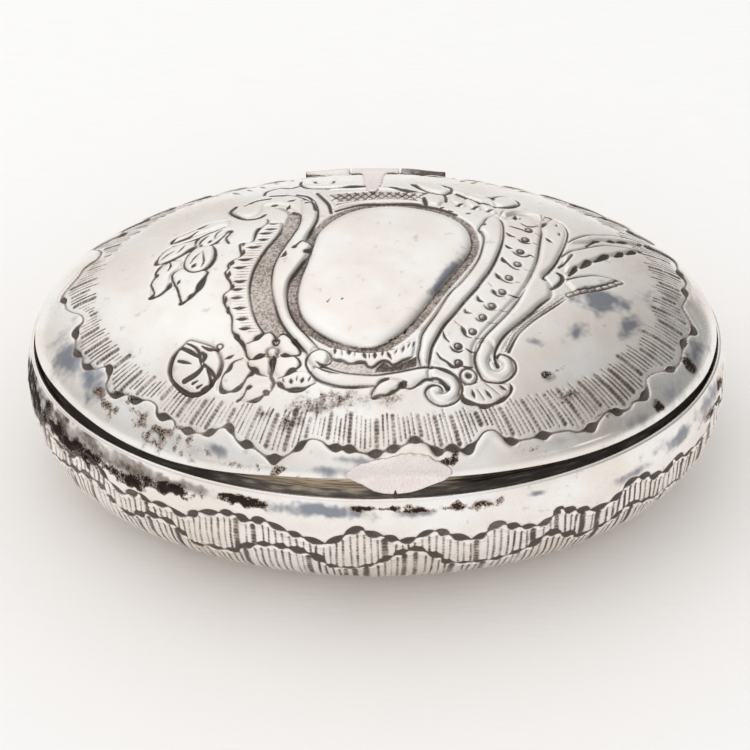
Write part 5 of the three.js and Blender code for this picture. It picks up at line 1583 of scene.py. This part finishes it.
class Finish:
    """A material's nodes. Lengths in it are millimetres on the piece itself."""

    def __init__(self, name):
        self.material = bpy.data.materials.new(name)
        self.material.use_nodes = True
        self.nodes, self.links = self.material.node_tree.nodes, self.material.node_tree.links
        self.shader = self.nodes["Principled BSDF"]
        self.shader.inputs["Metallic"].default_value = 1.0
        place = self.nodes.new("ShaderNodeTexCoord")
        self.place = self.nodes.new("ShaderNodeMapping")
        self.place.inputs["Scale"].default_value = (1 / MM,) * 3
        self.links.new(place.outputs["Object"], self.place.inputs["Vector"])

    def feed(self, socket, value):
        if isinstance(value, bpy.types.NodeSocket):
            self.links.new(value, socket)
        else:
            socket.default_value = value

    def layers(self):
        """The darkness, matting, film and crust that the chasing left on the mesh."""
        read = self.nodes.new("ShaderNodeAttribute")
        read.attribute_name = "finish"
        parts = self.nodes.new("ShaderNodeSeparateColor")
        self.links.new(read.outputs["Color"], parts.inputs["Color"])
        return [parts.outputs[n] for n in ("Red", "Green", "Blue")] + [read.outputs["Alpha"]]

    def noise(self, size, detail=2.0, stretch=(1, 1, 1)):
        """Noise whose blobs are about a size across, stretched along the axes."""
        squeeze = self.nodes.new("ShaderNodeMapping")
        squeeze.inputs["Scale"].default_value = [1 / s for s in stretch]
        self.links.new(self.place.outputs["Vector"], squeeze.inputs["Vector"])
        texture = self.nodes.new("ShaderNodeTexNoise")
        texture.inputs["Scale"].default_value = 1 / size
        texture.inputs["Detail"].default_value = detail
        self.links.new(squeeze.outputs["Vector"], texture.inputs["Vector"])
        return texture.outputs["Fac"]

    def ramp(self, value, low, high, first=0.0, last=1.0):
        node = ramp_node(self.nodes, low, high, first, last)
        self.feed(node.inputs["Value"], value)
        return node.outputs["Result"]

    def maths(self, operation, a, b):
        node = self.nodes.new("ShaderNodeMath")
        node.operation = operation
        self.feed(node.inputs[0], a)
        self.feed(node.inputs[1], b)
        return node.outputs["Value"]

    def broken(self, amount, speckle, spread):
        """An amount made larger and smaller by speckles, to break up its edge."""
        shift = self.ramp(speckle, 0.25, 0.75, -spread, spread)
        return self.maths("ADD", amount, shift)

    def mix(self, share, first, second):
        node = self.nodes.new("ShaderNodeMix")
        node.data_type = "RGBA"
        self.feed(node.inputs["Factor"], share)
        self.feed(node.inputs["A"], first)
        self.feed(node.inputs["B"], second)
        return node.outputs["Result"]

    def finish(self, colour, roughness, height, depth):
        """Sets the shader's colour, its roughness and a bump of a depth in millimetres."""
        self.feed(self.shader.inputs["Base Color"], colour)
        self.feed(self.shader.inputs["Roughness"], roughness)
        bump = self.nodes.new("ShaderNodeBump")
        bump.inputs["Strength"].default_value = 1.0
        bump.inputs["Distance"].default_value = depth * MM
        self.feed(bump.inputs["Height"], height)
        self.links.new(bump.outputs["Normal"], self.shader.inputs["Normal"])
        return self.material


SILVER = (0.965, 0.945, 0.918, 1)
WARM_FILM = (0.88, 0.81, 0.735, 1)
# The grey of film, also used for painted reflections of darker surroundings
GREY_FILM_AND_REFLECTION = (0.19, 0.21, 0.26, 1)
BROWNED = (0.47, 0.4, 0.355, 1)
# The dark of hollows, also used as painted shade under the lid's edge, on the collar and on the knuckles
HOLLOW_AND_SHADE = (0.135, 0.117, 0.105, 1)
BROWN_SKIN = (0.36, 0.26, 0.19, 1)
# Crust, which on the collar is painted shade
CRUST_AND_SHADE = (0.022, 0.014, 0.011, 1)


def silver():
    """Old hand-polished silver, dark in its hollows, matted where it was punched over and stained. Its grey
    film is in places a painted reflection, and under the lid's edge it is painted dark as shade.
    """
    metal = Finish("old_silver")
    dark, matt, film_and_reflection, crust = metal.layers()
    clouds, patches = metal.noise(9, 3), metal.noise(1.6, 4)
    speckle = metal.noise(0.2, 3)
    scratches = metal.noise(0.25, 2, (14, 1, 1))
    warm = metal.ramp(clouds, 0.34, 0.7, 0.0, 0.85)
    uneven = metal.broken(dark, speckle, 0.08)
    # The dark of hollows; under the lid's edge it is painted shade
    browned, hollow = metal.ramp(uneven, 0.1, 0.5), metal.ramp(uneven, 0.34, 0.72)
    # Grey film, in places a painted reflection of darker surroundings
    filmed_and_reflecting = metal.ramp(metal.broken(film_and_reflection, patches, 0.12), 0.08, 0.9, 0.0, 0.86)
    crusted = metal.ramp(metal.broken(metal.broken(crust, speckle, 0.26), patches, 0.3), 0.46, 0.66, 0.0,
                         0.95)
    skinned = metal.ramp(metal.broken(crust, patches, 0.34), 0.24, 0.5, 0.0, 0.8)
    colour = metal.mix(warm, SILVER, WARM_FILM)
    colour = metal.mix(filmed_and_reflecting, colour, GREY_FILM_AND_REFLECTION)
    colour = metal.mix(skinned, colour, BROWN_SKIN)
    colour = metal.mix(browned, colour, BROWNED)
    colour = metal.mix(hollow, colour, HOLLOW_AND_SHADE)
    colour = metal.mix(crusted, colour, CRUST_AND_SHADE)
    rough = metal.ramp(patches, 0.3, 0.7, 0.22, 0.31)
    for amount, more in ((matt, 0.2), (browned, 0.08), (hollow, 0.12), (crusted, 0.3)):
        rough = metal.maths("ADD", rough, metal.maths("MULTIPLY", amount, more))
    grain = metal.maths("MULTIPLY", speckle, metal.maths("ADD", matt, 0.12))
    height = metal.maths("ADD", grain, metal.maths("MULTIPLY", scratches, 0.1))
    return metal.finish(colour, rough, height, 0.05)


def brushed(name, colour, shade, roughness, stretch, bare=1.0):
    """Unpolished metal with brush marks, dark where its pieces are painted with shade, and partly under a
    brown skin, which on the collar is painted shade as well.
    """
    metal = Finish(name)
    metal.shader.inputs["Metallic"].default_value = bare
    dark, _, _, crust = metal.layers()
    marks, patches = metal.noise(0.16, 3, stretch), metal.noise(2.2, 4)
    blend = metal.mix(metal.ramp(marks, 0.36, 0.64), (*colour, 1), (*shade, 1))
    blend = metal.mix(metal.ramp(patches, 0.5, 0.8, 0, 0.6), blend, (*shade, 1))
    # Dark from the pieces, which on the collar and the knuckles is painted shade
    blend = metal.mix(metal.ramp(metal.broken(dark, marks, 0.25), 0.1, 0.9), blend, HOLLOW_AND_SHADE)
    # On the collar this crust is painted shade
    if bare < 1:
        blend = metal.mix(metal.ramp(metal.broken(crust, marks, 0.2), 0.1, 0.9), blend, CRUST_AND_SHADE)
    rough = metal.ramp(patches, 0.3, 0.7, roughness - 0.06, roughness + 0.08)
    return metal.finish(blend, rough, marks, 0.03)


# Studio

def place_camera():
    yaw, elevation, roll = CAMERA_YAW, CAMERA_ELEVATION, CAMERA_ROLL
    right = Vector((math.cos(yaw), -math.sin(yaw), 0))
    ahead = Vector((math.sin(yaw), math.cos(yaw), 0))
    up = ahead * math.sin(elevation) + Vector((0, 0, math.cos(elevation)))
    forward = ahead * math.cos(elevation) - Vector((0, 0, math.sin(elevation)))
    turned_right = right * math.cos(roll) - up * math.sin(roll)
    turned_up = right * math.sin(roll) + up * math.cos(roll)
    camera = bpy.data.objects.new("camera", bpy.data.cameras.new("camera"))
    camera.data.sensor_width = 36
    camera.data.lens = CAMERA_LENS
    camera.data.shift_x, camera.data.shift_y = CAMERA_SHIFT
    camera.data.clip_start = 0.01
    turn = Matrix((turned_right, turned_up, -forward)).transposed().to_4x4()
    camera.matrix_world = Matrix.Translation(Vector((0, 0, RIM_Z * MM)) - forward * CAMERA_DISTANCE) @ turn
    bpy.context.scene.collection.objects.link(camera)
    bpy.context.scene.camera = camera


def area_lamp(name, place, size, watts, colour):
    light = bpy.data.lights.new(name, "AREA")
    light.shape = "RECTANGLE"
    light.size, light.size_y = size
    light.energy = watts
    light.color = colour
    lamp = bpy.data.objects.new(name, light)
    lamp.location = place
    lamp.visible_glossy = False
    lamp.rotation_euler = (Vector((0, 0, 0.01)) - Vector(place)).to_track_quat("-Z", "Y").to_euler()
    bpy.context.scene.collection.objects.link(lamp)


WORLD_STRENGTH = 0.95


def world_light():
    """A pale room, brighter above on the left, which metal shows more strongly than the floor does."""
    world = bpy.data.worlds.new("world")
    bpy.context.scene.world = world
    world.use_nodes = True
    nodes, links = world.node_tree.nodes, world.node_tree.links
    direction = nodes.new("ShaderNodeTexCoord")

    def facing(towards, low, high, first, last):
        dot = nodes.new("ShaderNodeVectorMath")
        dot.operation = "DOT_PRODUCT"
        dot.inputs[1].default_value = Vector(towards).normalized()
        links.new(direction.outputs["Generated"], dot.inputs[0])
        node = ramp_node(nodes, low, high, first, last)
        links.new(dot.outputs["Value"], node.inputs["Value"])
        return node.outputs["Result"]

    def product(a, b):
        node = nodes.new("ShaderNodeMath")
        node.operation = "MULTIPLY"
        links.new(a, node.inputs[0])
        links.new(b, node.inputs[1])
        return node.outputs["Value"]

    above = facing((0, 0, 1), 0.0, 0.9, 0.76, 1.06)
    right = facing((0.85, 0.1, 0.3), 0.2, 1.0, 1.0, 0.38)
    left = facing((-0.8, -0.3, 0.5), 0.45, 1.0, 1.0, 0.78)
    room = product(product(above, right), left)
    path = nodes.new("ShaderNodeLightPath")
    strength = nodes.new("ShaderNodeMix")
    links.new(path.outputs["Is Glossy Ray"], strength.inputs["Factor"])
    strength.inputs["A"].default_value = WORLD_STRENGTH
    links.new(room, strength.inputs["B"])
    background = nodes["Background"]
    background.inputs["Color"].default_value = (1.0, 0.995, 0.99, 1)
    links.new(strength.outputs["Result"], background.inputs["Strength"])


FLOOR_COLOURS = ((0.89, 0.89, 0.89, 1), (0.874, 0.872, 0.87, 1))
# Painted warm shade and light thrown back from the box, on the floor close to it, over a reach in
# millimetres
FLOOR_WARM_SHADE_COLOUR = (0.88, 0.85, 0.825, 1)
FLOOR_WARM_SHADE_REACH = (30, 95)
FLOOR_HALF = 0.9


def white_floor():
    """A white floor with a faint grain, painted a little darker and warmer close to the box, as warm shade
    and light thrown back from the silver.
    """
    mesh = bpy.data.meshes.new("floor")
    corners = [(FLOOR_HALF * x, FLOOR_HALF * y, 0) for x, y in ((-1, -1), (1, -1), (1, 1), (-1, 1))]
    mesh.from_pydata(corners, [], [(0, 1, 2, 3)])
    floor = bpy.data.objects.new("floor", mesh)
    paint = Finish("white_paint")
    paint.shader.inputs["Metallic"].default_value = 0.0
    grain = paint.noise(0.7, 4, (9, 1, 1))
    colour = paint.mix(paint.ramp(grain, 0.35, 0.8), *FLOOR_COLOURS)
    reach = paint.nodes.new("ShaderNodeVectorMath")
    reach.operation = "LENGTH"
    paint.links.new(paint.place.outputs["Vector"], reach.inputs[0])
    colour = paint.mix(paint.ramp(reach.outputs["Value"], *FLOOR_WARM_SHADE_REACH), FLOOR_WARM_SHADE_COLOUR, colour)
    mesh.materials.append(paint.finish(colour, 0.65, grain, 0.05))
    bpy.context.scene.collection.objects.link(floor)


place_camera()
world_light()
white_floor()
area_lamp("window", place=(-0.3, 0.05, 0.7), size=(0.9, 0.9), watts=1.35, colour=(1, 0.99, 0.98))
bpy.context.scene.view_settings.view_transform = "Standard"
old_silver = silver()
lid_shell(lid_chasing(), old_silver)
base_shell(base_chasing(), old_silver)
brown_silver = brushed("browned_silver", colour=(0.78, 0.64, 0.47), shade=(0.34, 0.25, 0.165),
                       roughness=0.42, stretch=(20, 20, 1), bare=0.35)
pink_silver = brushed("solder_silver", colour=(0.95, 0.88, 0.855), shade=(0.88, 0.79, 0.755), roughness=0.3,
                      stretch=(1, 1, 4))
grey_wire = brushed("drawn_wire", colour=(0.56, 0.47, 0.46), shade=(0.16, 0.12, 0.13), roughness=0.36,
                    stretch=(5, 1, 1))
collar(brown_silver)
# The base's knuckles are painted with shade below a height, the right one nearly to its top
knuckle("base_knuckle_left", "base", pink_silver, outer_end=-1, painted_shade_up_to=0.75)
knuckle("base_knuckle_right", "base", grey_wire, outer_end=1, painted_shade_up_to=1.1)
knuckle("lid_knuckle", "lid", pink_silver)
pin(grey_wire)
hinge_plate(pink_silver)
bearer(grey_wire)
thumb_piece(pink_silver)
